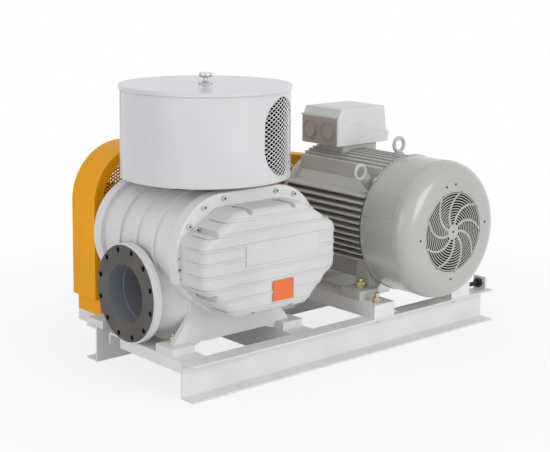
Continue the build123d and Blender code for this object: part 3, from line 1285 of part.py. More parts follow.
# ================================================================ terminal box
PARTING_Z0 = 778.0        # parting line height at the -X side
PARTING_Z1 = 704.0        # and at the +X side
LID_Z = 812.0
BOX_PLATE = 5.0
LID_FLANGE = 7.0


def box_block(z_low, z_left, z_right, inset):
    return outline(across(BOX_Y1 - inset), [(BOX_X0 + inset, z_low), (BOX_X1 - inset, z_low),
                                            (BOX_X1 - inset, z_right), (BOX_X0 + inset, z_left)])


with BuildPart() as terminal_box:
    extrude(box_block(BOX_Z0, PARTING_Z0, PARTING_Z1, 0), amount=BOX_Y1 - BOX_Y0)
    fillet(terminal_box.edges().filter_by(Axis.Z), 10)
    extrude(box_block(BOX_Z0 + BOX_PLATE, PARTING_Z0 + 40, PARTING_Z1 + 40, BOX_PLATE),
            amount=BOX_Y1 - BOX_Y0 - 2 * BOX_PLATE, mode=Mode.SUBTRACT)
save(terminal_box, "terminal_box")

with BuildPart() as terminal_box_lid:
    with BuildSketch(across(BOX_Y1 - 4)):
        with BuildLine():
            Polyline((BOX_X0 + 8, PARTING_Z0), (BOX_X0 + 20, LID_Z), (BOX_X1 - 26, LID_Z),
                     (BOX_X1 - 12, PARTING_Z1 + 6), close=True)
        make_face()
    extrude(amount=BOX_Y1 - BOX_Y0 - 8)
    # flange that sits on the box rim
    with BuildSketch(across(BOX_Y1)):
        with BuildLine():
            Polyline((BOX_X0, PARTING_Z0), (BOX_X1, PARTING_Z1),
                     (BOX_X1, PARTING_Z1 + LID_FLANGE), (BOX_X0, PARTING_Z0 + LID_FLANGE), close=True)
        make_face()
    extrude(amount=BOX_Y1 - BOX_Y0)
save(terminal_box_lid, "terminal_box_lid")

KNOCKOUT_R = 27.0
KNOCKOUT_YS = ((BOX_Y0 + BOX_Y1) / 2 - 48, (BOX_Y0 + BOX_Y1) / 2 + 48)
with BuildPart() as knockout_plugs:
    for y in KNOCKOUT_YS:
        extrude(disc(along(BOX_X0), (y, BOX_Z0 + 50), KNOCKOUT_R), amount=-4)
save(knockout_plugs, "knockout_plugs")

# ================================================================ motor fasteners
EYE_RING_R = 25.0
EYE_BAR_R = 6.5
with BuildPart() as eye_bolts:
    for angle in EYE_ANGLES:
        seat = eye_plane(angle, FIN_R + 2)
        extrude(disc(seat, (0, 0), EYE_BOSS_R - 1), amount=6)
        centre = seat.origin + seat.z_dir * (EYE_RING_R + EYE_BAR_R + 4)
        with BuildSketch(Plane(origin=centre, x_dir=seat.z_dir, z_dir=seat.y_dir)):
            with Locations((EYE_RING_R, 0)):
                Circle(EYE_BAR_R)
        revolve(axis=Axis(centre, (0, 1, 0)))
save(eye_bolts, "eye_bolts")

with BuildPart() as motor_foot_bolts:
    top = RAIL_TOP + FOOT_PAD
    for x in RAIL_XS:
        for y in FOOT_YS:
            extrude(disc(Plane.XY.offset(top), (x, y), 19), amount=3)
            extrude(hexagon(Plane.XY.offset(top + 3), (x, y), 30), amount=18)
            extrude(disc(Plane.XY.offset(top + 21), (x, y), 10), amount=10)
save(motor_foot_bolts, "motor_foot_bolts")
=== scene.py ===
"""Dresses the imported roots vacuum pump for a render.  Metres, in the frame of the CAD model."""
from math import cos, pi, radians, sin

import bmesh
import bpy
from mathutils import Matrix, Vector
from mathutils.bvhtree import BVHTree


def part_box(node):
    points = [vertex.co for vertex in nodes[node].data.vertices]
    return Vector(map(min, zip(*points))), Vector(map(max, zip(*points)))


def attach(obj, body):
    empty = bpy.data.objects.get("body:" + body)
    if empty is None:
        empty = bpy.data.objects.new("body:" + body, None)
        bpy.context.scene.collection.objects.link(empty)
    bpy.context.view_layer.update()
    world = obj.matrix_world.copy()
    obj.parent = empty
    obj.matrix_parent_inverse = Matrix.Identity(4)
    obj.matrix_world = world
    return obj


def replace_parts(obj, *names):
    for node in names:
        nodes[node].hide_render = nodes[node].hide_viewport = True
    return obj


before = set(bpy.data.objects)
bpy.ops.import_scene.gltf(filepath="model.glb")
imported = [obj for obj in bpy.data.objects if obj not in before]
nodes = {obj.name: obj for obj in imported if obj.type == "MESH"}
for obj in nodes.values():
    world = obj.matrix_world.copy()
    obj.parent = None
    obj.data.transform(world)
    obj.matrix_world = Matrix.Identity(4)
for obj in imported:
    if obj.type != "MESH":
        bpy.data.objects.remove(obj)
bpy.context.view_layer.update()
scene = bpy.context.scene
ROOT = "package"
CARRIAGE = "motor_carriage"
COVER = "silencer_cover"


# ---------------------------------------------------------------- materials
class Graph:
    """Short hand for building one material's nodes."""

    def __init__(self, name):
        self.material = bpy.data.materials.new(name)
        self.material.use_nodes = True
        self.tree = self.material.node_tree
        self.shader = self.tree.nodes["Principled BSDF"]
        self.place = self.add("ShaderNodeTexCoord").outputs["Object"]

    def add(self, kind, **settings):
        node = self.tree.nodes.new(kind)
        for key, value in settings.items():
            setattr(node, key, value)
        return node

    def link(self, source, target):
        self.tree.links.new(source, target)

    def noise(self, scale, detail=4.0, stretch=None):
        texture = self.add("ShaderNodeTexNoise")
        texture.inputs["Scale"].default_value = scale
        texture.inputs["Detail"].default_value = detail
        source = self.place
        if stretch:
            mapping = self.add("ShaderNodeMapping")
            mapping.inputs["Scale"].default_value = stretch
            self.link(source, mapping.inputs["Vector"])
            source = mapping.outputs["Vector"]
        self.link(source, texture.inputs["Vector"])
        return texture.outputs["Fac"]

    def ramp(self, source, stops):
        ramp = self.add("ShaderNodeValToRGB")
        elements = ramp.color_ramp.elements
        while len(elements) < len(stops):
            elements.new(0.5)
        for element, (place, colour) in zip(elements, stops):
            element.position = place
            element.color = (*colour, 1.0)
        self.link(source, ramp.inputs["Fac"])
        return ramp.outputs["Color"]

    def span(self, source, low, high):
        spread = self.add("ShaderNodeMapRange")
        spread.inputs["To Min"].default_value = low
        spread.inputs["To Max"].default_value = high
        self.link(source, spread.inputs["Value"])
        return spread.outputs["Result"]

    def bump(self, source, strength, distance, rounding=0.0):
        bump = self.add("ShaderNodeBump")
        bump.inputs["Strength"].default_value = strength
        bump.inputs["Distance"].default_value = distance
        self.link(source, bump.inputs["Height"])
        if rounding:
            bevel = self.add("ShaderNodeBevel", samples=4)
            bevel.inputs["Radius"].default_value = rounding
            self.link(bevel.outputs["Normal"], bump.inputs["Normal"])
        self.link(bump.outputs["Normal"], self.shader.inputs["Normal"])


def shaded(colour, factor):
    return tuple(min(1.0, c * factor) for c in colour)


def paint(name, colour, rough=0.42, grain=260.0, grain_depth=0.00018, mottle=5.0, rounding=0.0022, coat=0.0,
          spread=0.07):
    """Sprayed paint: slow colour drift, uneven roughness, an orange-peel or cast grain and eased edges."""
    g = Graph(name)
    drift = g.noise(mottle, 5.0)
    g.link(g.ramp(drift, [(0.30, shaded(colour, 0.93)), (0.52, colour), (0.72, shaded(colour, 1.05))]),
           g.shader.inputs["Base Color"])
    g.link(g.span(g.noise(38.0), rough - spread, rough + spread), g.shader.inputs["Roughness"])
    g.shader.inputs["Coat Weight"].default_value = coat
    g.bump(g.noise(grain, 3.0), 0.35, grain_depth, rounding)
    return g.material


def metal(name, colour, rough=0.35, stretch=(1.0, 1.0, 1.0), depth=0.00008, dark=0.75):
    """Bare metal with fine tool marks and uneven stain."""
    g = Graph(name)
    g.shader.inputs["Metallic"].default_value = 1.0
    tones = [(0.28, shaded(colour, dark)), (0.55, colour), (0.8, shaded(colour, 1.15))]
    g.link(g.ramp(g.noise(24.0, 6.0), tones), g.shader.inputs["Base Color"])
    marks = g.noise(420.0, 2.0, stretch)
    g.link(g.span(marks, rough - 0.1, rough + 0.14), g.shader.inputs["Roughness"])
    g.bump(marks, 0.4, depth, 0.0012)
    return g.material


def soft(name, colour, rough, grain, depth, sheen=0.0):
    """Rubber, plastic or filter cloth."""
    g = Graph(name)
    g.link(g.ramp(g.noise(grain / 8.0), [(0.3, shaded(colour, 0.8)), (0.7, shaded(colour, 1.25))]),
           g.shader.inputs["Base Color"])
    g.link(g.span(g.noise(30.0), rough - 0.05, rough + 0.08), g.shader.inputs["Roughness"])
    g.shader.inputs["Sheen Weight"].default_value = sheen
    g.bump(g.noise(grain, 2.0), 0.5, depth)
    return g.material


def turned_face(name, colour):
    """Machined, stained face with concentric tool marks round the discharge port's axis."""
    g = Graph(name)
    g.shader.inputs["Metallic"].default_value = 0.35
    split = g.add("ShaderNodeSeparateXYZ")
    g.link(g.place, split.inputs["Vector"])
    flat = g.add("ShaderNodeCombineXYZ")
    offset_y = g.add("ShaderNodeMath", operation="SUBTRACT")
    offset_y.inputs[1].default_value = PORT.y
    offset_z = g.add("ShaderNodeMath", operation="SUBTRACT")
    offset_z.inputs[1].default_value = PORT.z
    g.link(split.outputs["Y"], offset_y.inputs[0])
    g.link(split.outputs["Z"], offset_z.inputs[0])
    g.link(offset_y.outputs[0], flat.inputs["X"])
    g.link(offset_z.outputs[0], flat.inputs["Y"])
    rings = g.add("ShaderNodeTexWave", wave_type="RINGS", rings_direction="SPHERICAL")
    rings.inputs["Scale"].default_value = 90.0
    rings.inputs["Distortion"].default_value = 1.2
    g.link(flat.outputs["Vector"], rings.inputs["Vector"])
    tones = [(0.3, shaded(colour, 0.75)), (0.55, colour), (0.8, shaded(colour, 1.3))]
    g.link(g.ramp(g.noise(11.0, 6.0), tones), g.shader.inputs["Base Color"])
    g.link(g.span(rings.outputs["Fac"], 0.34, 0.52), g.shader.inputs["Roughness"])
    g.bump(rings.outputs["Fac"], 0.3, 0.0002, 0.001)
    return g.material


# discharge port on the casing's -X side
PORT_Z = 0.285
PORT_R = 0.0975
FLANGE_R = 0.165
BOLT_CIRCLE_R = 0.145
HOLE_R = 0.00925
HOLE_DEPTH = 0.020
rotor_low, rotor_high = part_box("drive_rotor")
PORT = Vector((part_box("rotor_casing")[0].x, (rotor_low.y + rotor_high.y) / 2, PORT_Z))

BASE_PAINT = paint("base_paint", (0.80, 0.795, 0.775), 0.5, 300.0)
BLOWER_PAINT = paint("blower_paint", (0.75, 0.745, 0.735), 0.46, 190.0, 0.00035)
COVER_PAINT = paint("cover_paint", (0.66, 0.65, 0.65), 0.44, 190.0, 0.0003, rounding=0.003)
SHEET_PAINT = paint("silencer_paint", (0.67, 0.67, 0.67), 0.30, 420.0, 0.00002, 2.5, 0.0015, 0.2, 0.015)
# painted shade: the lid's up-facing faces get a darker, bluer tone than the drum's sheet
LID_TOP_PAINTED_SHADE = paint("lid_top_painted_shade", (0.53, 0.53, 0.565), 0.2, 420.0, 0.000006, 2.5, 0.0015, 0.1, 0.015)
WINDOW_PAINT = paint("window_paint", (0.92, 0.92, 0.92), 0.4, 420.0, 0.00002, 1.2, 0.0)
GUARD_PAINT = paint("guard_paint", (0.96, 0.41, 0.006), 0.5, 420.0, 0.00008, 3.0, 0.0012)
GUARD_PAINT.node_tree.nodes["Principled BSDF"].inputs["Specular IOR Level"].default_value = 0.18
MOTOR_PAINT = paint("motor_paint", (0.56, 0.555, 0.525), 0.45, 220.0, 0.00025)
COWL_PAINT = paint("cowl_paint", (0.46, 0.45, 0.42), 0.26, 420.0, 0.00003, 2.5, 0.0015, 0.4, 0.015)
BOX_PAINT = paint("box_paint", (0.76, 0.76, 0.73), 0.42, 260.0, 0.0001)
# painted shade: the terminal box's -X side and its knockouts get a darker tone than the box's other faces
BOX_SIDE_PAINTED_SHADE = paint("box_side_painted_shade", (0.44, 0.40, 0.36), 0.45, 260.0, 0.0001)
ORANGE = paint("orange_plate", (0.80, 0.16, 0.03), 0.35, 500.0, 0.00003)
FACE_METAL = turned_face("flange_face", (0.085, 0.074, 0.062))
BORE_METAL = paint("port_bore", (0.25, 0.255, 0.29), 0.5, 120.0, 0.0006)
THREAD_METAL = metal("tapped_holes", (0.20, 0.155, 0.09), 0.5)
STEEL = metal("machined_steel", (0.55, 0.55, 0.56), 0.32, (1.0, 12.0, 1.0))
IRON = metal("cast_iron", (0.20, 0.195, 0.19), 0.5, depth=0.0002)
ZINC = metal("yellow_zinc", (0.66, 0.57, 0.34), 0.34)
BLACK_STEEL = metal("black_steel", (0.045, 0.045, 0.05), 0.42)
ALUMINIUM = metal("cast_aluminium", (0.62, 0.63, 0.64), 0.42, depth=0.0002)
RUBBER = soft("rubber", (0.022, 0.022, 0.022), 0.75, 700.0, 0.0002)
PLASTIC = soft("black_plastic", (0.03, 0.03, 0.032), 0.45, 500.0, 0.00006)
FILTER = soft("filter_cloth", (0.03, 0.03, 0.03), 0.9, 900.0, 0.0004)
# painted shade: near-black for the drum's inside, the base's top and the lid's underside, so the window
# shows dark behind its mesh
DRUM_INSIDE_PAINTED_SHADE = soft("drum_inside_painted_shade", (0.006, 0.006, 0.006), 0.95, 500.0, 0.0008)
DARK_HOLE = soft("socket_shadow", (0.012, 0.012, 0.012), 0.7, 400.0, 0.00005)

FINISH = {
    BASE_PAINT: ["front_beam", "rear_beam", "left_cross_member", "right_cross_member", "stringers",
                 "tension_brackets", "guard_brackets", "motor_rails"],
    BLOWER_PAINT: ["rotor_casing", "gear_end_plate", "drive_end_plate", "drive_end_cover"],
    COVER_PAINT: ["gear_cover", "cover_bolts"],
    SHEET_PAINT: ["silencer_base", "silencer_drum", "silencer_lid"],
    GUARD_PAINT: ["belt_guard", "guard_borders"],
    MOTOR_PAINT: ["motor_frame", "drive_endshield", "rear_endshield", "eye_bolts"],
    COWL_PAINT: ["fan_cowl", "fan_grille"],
    BOX_PAINT: ["terminal_box", "terminal_box_lid", "knockout_plugs"],
    ORANGE: ["blank_plate"],
    STEEL: ["bearing_outer_rings", "bearing_rollers", "drive_inner_rings", "driven_inner_rings",
            "drive_shaft", "driven_shaft", "drive_timing_gear", "driven_timing_gear", "silencer_stud",
            "motor_bearings", "motor_shaft", "stator_core"],
    IRON: ["drive_rotor", "driven_rotor", "blower_pulley", "motor_pulley"],
    ZINC: ["foot_bolts", "rail_bolts", "motor_foot_bolts"],
    BLACK_STEEL: ["tension_bolt_front", "tension_bolt_rear"],
    ALUMINIUM: ["motor_rotor_core", "silencer_knob"],
    RUBBER: ["v_belts", "shaft_seals"],
    PLASTIC: ["cooling_fan"],
}
for material, names in FINISH.items():
    for name in names:
        nodes[name].data.materials.clear()
        nodes[name].data.materials.append(material)


def refinish(name, material, chosen):
    """Gives the polygons that chosen() picks on a CAD node another material."""
    mesh = nodes[name].data
    mesh.materials.append(material)
    index = len(mesh.materials) - 1
    for polygon in mesh.polygons:
        if chosen(polygon):
            polygon.material_index = index


PICK = 0.001              # slack for picking polygons by place
FACE_STEP = 0.0035        # deepest step of the raised flange face
BORE_START = 0.0001
BORE_LENGTH = 0.4
DRILL_TIP = 0.006         # the tapped holes' cones reach this much deeper
RIM_LEFT = 0.008          # width of the flange's edge that no hole touches


def port_distance(polygon):
    """Distance of a polygon from the discharge port's axis."""
    return ((polygon.center.y - PORT.y) ** 2 + (polygon.center.z - PORT.z) ** 2) ** 0.5


def on_flange_face(polygon):
    return polygon.center.x < PORT.x + FACE_STEP and polygon.normal.x < -0.9


def in_bore(polygon):
    depth = polygon.center.x - PORT.x
    return BORE_START < depth < BORE_LENGTH and port_distance(polygon) < PORT_R + PICK


def in_flange_hole(polygon):
    """Walls and floors of the tapped holes."""
    depth = polygon.center.x - PORT.x
    off_circle = abs(port_distance(polygon) - BOLT_CIRCLE_R)
    wall = abs(polygon.normal.x) < 0.3 or depth > HOLE_DEPTH
    inside_rim = port_distance(polygon) < FLANGE_R - RIM_LEFT
    return depth < HOLE_DEPTH + DRILL_TIP and off_circle < HOLE_R + PICK and wall and inside_rim


drum_low, drum_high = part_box("silencer_drum")
drum_middle = (drum_low + drum_high) / 2
drum_r = (drum_high.x - drum_low.x) / 2


def inside_drum(polygon):
    """True for a polygon of the drum's inner side."""
    outward = polygon.center - drum_middle
    return polygon.normal.x * outward.x + polygon.normal.y * outward.y < -0.1


refinish("rotor_casing", FACE_METAL, on_flange_face)
refinish("rotor_casing", BORE_METAL, in_bore)
refinish("rotor_casing", THREAD_METAL, in_flange_hole)
# painted shade: the box's -X faces and all of the knockout plugs take the darker tone
refinish("terminal_box", BOX_SIDE_PAINTED_SHADE, lambda p: p.normal.x < -0.9)
refinish("knockout_plugs", BOX_SIDE_PAINTED_SHADE, lambda p: True)
# painted shade: the drum's inner faces and the base's up-facing faces are made near-black
refinish("silencer_drum", DRUM_INSIDE_PAINTED_SHADE, inside_drum)
refinish("silencer_base", DRUM_INSIDE_PAINTED_SHADE, lambda p: p.normal.z > 0.9)
# painted shade: the lid's top faces are darker than the rest of the lid
refinish("silencer_lid", LID_TOP_PAINTED_SHADE, lambda p: p.normal.z > 0.9)
# painted shade on the lid's underside
refinish("silencer_lid", DRUM_INSIDE_PAINTED_SHADE, lambda p: p.normal.z < -0.9)


# ---------------------------------------------------------------- small builders
SUNK = 0.0005             # how far a bead or seam sits inside the surface under it
HEAD_SUNK = 0.001         # the same for a screw's head


def finish_piece(name, bm, material, body, smooth=False):
    """Turns a bmesh into a piece that rides on a body."""
    mesh = bpy.data.meshes.new(name)
    bm.to_mesh(mesh)
    bm.free()
    mesh.materials.append(material)
    if smooth:
        for polygon in mesh.polygons:
            polygon.use_smooth = True
    piece = bpy.data.objects.new(name, mesh)
    scene.collection.objects.link(piece)
    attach(piece, body)
    return piece


def frame_at(point, axis):
    """Matrix that puts local +Z along axis at a point."""
    return Matrix.Translation(point) @ Vector(axis).to_track_quat("Z", "Y").to_matrix().to_4x4()


def add_ring(bm, radius, height, matrix, sides):
    """Points evenly round the matrix's Z axis."""
    angles = [2 * pi * i / sides for i in range(sides)]
    return [bm.verts.new(matrix @ Vector((radius * cos(a), radius * sin(a), height))) for a in angles]


def add_prism(bm, sides, radius, height, matrix):
    """Closed prism standing on the matrix's XY plane."""
    foot = add_ring(bm, radius, 0.0, matrix, sides)
    top = add_ring(bm, radius, height, matrix, sides)
    for i in range(sides):
        j = (i + 1) % sides
        bm.faces.new((foot[i], foot[j], top[j], top[i]))
    bm.faces.new(list(reversed(foot)))
    bm.faces.new(top)


def add_lathe(bm, profile, matrix, sides=24):
    """Surface turned from (radius, height) points; it closes on the axis where the radius is 0."""
    rings = [add_ring(bm, radius, height, matrix, sides if radius else 1) for radius, height in profile]
    for a, b in zip(rings, rings[1:]):
        for i in range(sides):
            j = (i + 1) % sides
            corners = [a[i % len(a)], a[j % len(a)], b[j % len(b)], b[i % len(b)]]
            distinct = list(dict.fromkeys(corners))
            if len(distinct) > 2:
                bm.faces.new(distinct)


def add_box(bm, low, high, matrix=Matrix.Identity(4)):
    """Closed box between two corners."""
    corners = [bm.verts.new(matrix @ Vector((x, y, z)))
               for x in (low[0], high[0]) for y in (low[1], high[1]) for z in (low[2], high[2])]
    for face in ((0, 1, 3, 2), (4, 6, 7, 5), (0, 4, 5, 1), (2, 3, 7, 6), (0, 2, 6, 4), (1, 5, 7, 3)):
        bm.faces.new([corners[i] for i in face])


def box_profile(inner, outer, height):
    """Closed profile of a flat ring for add_lathe."""
    return [(inner, 0.0), (outer, 0.0), (outer, height), (inner, height), (inner, 0.0)]


def surface_of(name):
    """Search tree of a CAD node's surface."""
    return BVHTree.FromObject(nodes[name], bpy.context.evaluated_depsgraph_get())


# ---------------------------------------------------------------- belt guard panels
STRAND_PITCH = 0.021
STRAND_WIDTH = 0.0032
STRAND_SLOPE = 0.55
STEP = 0.006              # how finely a strand is tried against the sheet's outline
ON_SHEET = 0.002
LOWER_DEPTH = 0.6         # the second family's thickness as a share of the first's
FRAME_WIDTH = 0.034
FRAME_THICKNESS = 0.0022


def strand_runs(tree, y, start, direction, length):
    """Stretches of a straight strand that lie on the sheet."""
    runs = []
    opened = None
    steps = int(length / STEP)
    for i in range(steps + 1):
        point = start + direction * (i * STEP)
        hit = tree.find_nearest(Vector((point.x, y, point.z)), ON_SHEET)[0] is not None
        if hit and opened is None:
            opened = point
        if opened is not None and (not hit or i == steps):
            if (point - opened).length > 2 * STEP:
                runs.append((opened, point - direction * STEP))
            opened = None
    return runs


def guard_mesh(node, name):
    """Expanded-metal panel: two families of slanting strands cut to the sheet's outline."""
    tree = surface_of(node)
    low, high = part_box(node)
    y = (low.y + high.y) / 2
    thick = (high.y - low.y) / 2
    height = high.z - low.z
    bm = bmesh.new()
    for side in (1, -1):
        direction = Vector((side, 0, STRAND_SLOPE)).normalized()
        length = height / direction.z
        reach = height / STRAND_SLOPE
        first = low.x - reach if side > 0 else low.x
        count = int((high.x - low.x + reach) / STRAND_PITCH)
        across = Vector((-direction.z, 0, direction.x)) * (STRAND_WIDTH / 2)
        depth = thick if side > 0 else thick * LOWER_DEPTH
        for i in range(count + 1):
            start = Vector((first + i * STRAND_PITCH, y, low.z))
            for begin, end in strand_runs(tree, y, start, direction, length):
                corners = []
                for shift in (Vector((0, -depth, 0)), Vector((0, depth, 0))):
                    corners += [bm.verts.new(point + shift)
                                for point in (begin - across, end - across, end + across, begin + across)]
                bm.faces.new(list(reversed(corners[:4])))
                bm.faces.new(corners[4:])
                for k in range(4):
                    bm.faces.new([corners[n] for n in (k, (k + 1) % 4, (k + 1) % 4 + 4, k + 4)])
    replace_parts(finish_piece(name, bm, GUARD_PAINT, ROOT), node)


def guard_frame(node, name):
    """Flat frame over a panel's edge, made by drawing in the panel's own outline."""
    low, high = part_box(node)
    y = (low.y + high.y) / 2
    bm = bmesh.new()
    bm.from_mesh(nodes[node].data)
    bmesh.ops.remove_doubles(bm, verts=bm.verts, dist=1e-6)
    bmesh.ops.delete(bm, geom=[f for f in bm.faces if f.normal.y > -0.9], context="FACES")
    ring = bmesh.ops.inset_region(bm, faces=bm.faces[:], thickness=FRAME_WIDTH, use_boundary=True,
                                  use_even_offset=True)["faces"]
    bmesh.ops.delete(bm, geom=list(set(bm.faces) - set(ring)), context="FACES")
    for vertex in bm.verts:
        vertex.co.y = y
    piece = finish_piece(name, bm, GUARD_PAINT, ROOT)
    sheet = piece.modifiers.new("sheet", "SOLIDIFY")
    sheet.thickness = FRAME_THICKNESS
    sheet.offset = 0.0


guard_frame("guard_inner_mesh", "guard_inner_frame")
guard_frame("guard_outer_mesh", "guard_outer_frame")
guard_mesh("guard_inner_mesh", "guard_inner_expanded_metal")
guard_mesh("guard_outer_mesh", "guard_outer_expanded_metal")

# ---------------------------------------------------------------- silencer window and filter
CELL_WIDTH = 0.026
CELL_HEIGHT = 0.0145
STRAND = 0.0036
MESH_INSET = 0.0037       # from the drum's outside to the mesh's middle
MESH_REACH = 0.004        # how near the CAD sheet a cell's middle has to be
MESH_BACK = -0.6          # cosine of the angle behind which no cells are made


def window_mesh():
    """Curved expanded-metal sheet behind the drum's window."""
    tree = surface_of("silencer_mesh")
    low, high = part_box("silencer_mesh")
    radius = drum_r - MESH_INSET
    turn = CELL_WIDTH / 2 / radius
    points = {}
    bm = bmesh.new()

    def place(i, j):
        """Where half-cell i round the drum and half-cell j up the mesh meet."""
        a = i * turn
        return Vector((drum_middle.x + radius * cos(a), drum_middle.y + radius * sin(a),
                       low.z + j * CELL_HEIGHT / 2))

    def corner(i, j):
        if (i, j) not in points:
            points[i, j] = bm.verts.new(place(i, j))
        return points[i, j]

    for i in range(-int(pi / turn), 0):
        for j in range(int((high.z - low.z) / (CELL_HEIGHT / 2))):
            near = tree.find_nearest(place(i, j), MESH_REACH)[0] is not None
            if (i + j) % 2 == 0 and near and cos(i * turn) >= MESH_BACK:
                bm.faces.new((corner(i - 1, j), corner(i, j - 1), corner(i + 1, j), corner(i, j + 1)))
    piece = finish_piece("silencer_window_mesh", bm, WINDOW_PAINT, COVER)
    wires = piece.modifiers.new("strands", "WIREFRAME")
    wires.thickness = STRAND
    wires.use_even_offset = False
    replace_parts(piece, "silencer_mesh")


window_mesh()

PLEATS = 84
PLEAT_DEPTH = 0.036
PLEAT_INSET = 0.002
END_RING_WIDTH = 0.040
END_RING_HEIGHT = 0.008
STUD_HOLE_R = 0.009


def pleated_filter():
    """Pleated ring between a foot ring and a disc with a hole for the stud."""
    low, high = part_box("filter_element")
    outer = (high.x - low.x) / 2
    bm = bmesh.new()
    axis = Vector((drum_middle.x, drum_middle.y, 0))
    rings = []
    for z in (low.z + END_RING_HEIGHT, high.z - END_RING_HEIGHT):
        ring = []
        for i in range(2 * PLEATS):
            a = pi * i / PLEATS
            r = outer - PLEAT_INSET - (PLEAT_DEPTH if i % 2 else 0.0)
            ring.append(bm.verts.new(axis + Vector((r * cos(a), r * sin(a), z))))
        rings.append(ring)
    for i in range(2 * PLEATS):
        j = (i + 1) % (2 * PLEATS)
        bm.faces.new((rings[0][i], rings[0][j], rings[1][j], rings[1][i]))
    for inner, z in ((outer - END_RING_WIDTH, low.z), (STUD_HOLE_R, high.z - END_RING_HEIGHT)):
        matrix = Matrix.Translation(axis + Vector((0, 0, z)))
        add_lathe(bm, box_profile(inner, outer, END_RING_HEIGHT), matrix, 72)
    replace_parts(finish_piece("pleated_filter", bm, FILTER, ROOT), "filter_element")


pleated_filter()

DRUM_BEAD = 0.0018
SEAM_ANGLE = radians(155)
SEAM_HALF_WIDTH = 0.009
SEAM_RISE = 0.0012
SEAM_FOOT = 0.008         # where the seam starts above the drum's foot
SEAM_CLEAR = 0.004        # what it leaves under the lid


def bead_ring(bm, radius, bead, corners, matrix):
    """Round bead of so many corners, bent to a ring."""
    angles = [2 * pi * k / corners for k in range(corners)] + [0.0]
    add_lathe(bm, [(radius + bead * cos(a), bead * sin(a)) for a in angles], matrix, 96)


def drum_trim():
    """Rolled bead at the drum's foot and the drum's lapped seam."""
    axis = Vector((drum_middle.x, drum_middle.y, 0))
    bm = bmesh.new()
    bead_ring(bm, drum_r, DRUM_BEAD, 8, Matrix.Translation(axis + Vector((0, 0, drum_low.z + DRUM_BEAD))))
    finish_piece("drum_rolled_edge", bm, SHEET_PAINT, COVER, True)
    seam = bmesh.new()
    add_box(seam, (drum_r - SUNK, -SEAM_HALF_WIDTH, drum_low.z + SEAM_FOOT),
            (drum_r + SEAM_RISE, SEAM_HALF_WIDTH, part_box("silencer_lid")[0].z - SEAM_CLEAR),
            Matrix.Translation(axis) @ Matrix.Rotation(SEAM_ANGLE, 4, "Z"))
    finish_piece("drum_lap_seam", seam, SHEET_PAINT, COVER)


drum_trim()


def lid_knob():
    """Turned knob: foot washer, thin stem and a flat round cap with eased edges."""
    low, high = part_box("silencer_knob")
    top = high.z - low.z
    cap = 0.015
    cap_r = (high.x - low.x) / 2
    washer_r = 0.0125
    stem_r = 0.0068
    profile = [(0.0, 0.0002), (washer_r, 0.0002), (washer_r, 0.003), (0.0085, 0.0045), (stem_r, 0.008),
               (stem_r, top - cap - 0.004), (0.011, top - cap), (cap_r - 0.002, top - cap),
               (cap_r, top - cap + 0.002), (cap_r, top - 0.003), (cap_r - 0.003, top), (0.0, top)]
    bm = bmesh.new()
    add_lathe(bm, profile, Matrix.Translation((drum_middle.x, drum_middle.y, low.z)), 32)
    knob = finish_piece("turned_lid_knob", bm, ALUMINIUM, "lid_knob", True)
    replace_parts(knob, "silencer_knob")


lid_knob()

# ---------------------------------------------------------------- fan grille
GRILLE_RINGS = 12
GRILLE_SPOKES = 9
RING_WIDTH = 0.0034
RIM_WIDTH = 0.005
SPOKE_WIDTH = 0.0092
SPOKE_SWEEP = radians(-46)
SPOKE_CURVE = 1.4
SPOKE_STEPS = 14
BOSS_SHARE = 0.19         # of the grille's radius
RING_DEPTH = 0.8          # of the spokes' depth


def swirl_grille():
    """Fan grille: thin hoops crossed by curved spokes, with a boss and a rim."""
    low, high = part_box("fan_grille")
    centre = (low + high) / 2
    rim = (high.x - low.x) / 2
    boss = BOSS_SHARE * rim
    thick = high.y - low.y
    bar = thick * RING_DEPTH
    matrix = frame_at(Vector((centre.x, high.y, centre.z)), (0, -1, 0))
    bm = bmesh.new()
    for k in range(GRILLE_RINGS):
        r = boss + (rim - boss) * (k + 1) / (GRILLE_RINGS + 1)
        add_lathe(bm, box_profile(r - RING_WIDTH / 2, r + RING_WIDTH / 2, bar), matrix, 96)
    add_lathe(bm, box_profile(rim - RIM_WIDTH, rim, thick), matrix, 96)
    add_lathe(bm, [(0.0, 0.0), (boss, 0.0), (boss, bar), (boss - 0.003, thick), (0.0, thick)], matrix, 40)
    for spoke in range(GRILLE_SPOKES):
        rows = []
        for i in range(SPOKE_STEPS + 1):
            share = i / SPOKE_STEPS
            r = boss - 0.001 + (rim - boss - 0.001) * share
            a = 2 * pi * spoke / GRILLE_SPOKES + SPOKE_SWEEP * share ** SPOKE_CURVE
            half = SPOKE_WIDTH / 2 / r
            edges = ((a - half, 0.0), (a - half, thick), (a + half, thick), (a + half, 0.0))
            rows.append([bm.verts.new(matrix @ Vector((r * cos(side), r * sin(side), z)))
                         for side, z in edges])
        for a, b in zip(rows, rows[1:]):
            for k in range(4):
                bm.faces.new((a[k], a[(k + 1) % 4], b[(k + 1) % 4], b[k]))
        bm.faces.new(list(reversed(rows[0])))
        bm.faces.new(rows[-1])
    bmesh.ops.recalc_face_normals(bm, faces=bm.faces)
    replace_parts(finish_piece("swirl_fan_grille", bm, COWL_PAINT, CARRIAGE), "fan_grille")


swirl_grille()


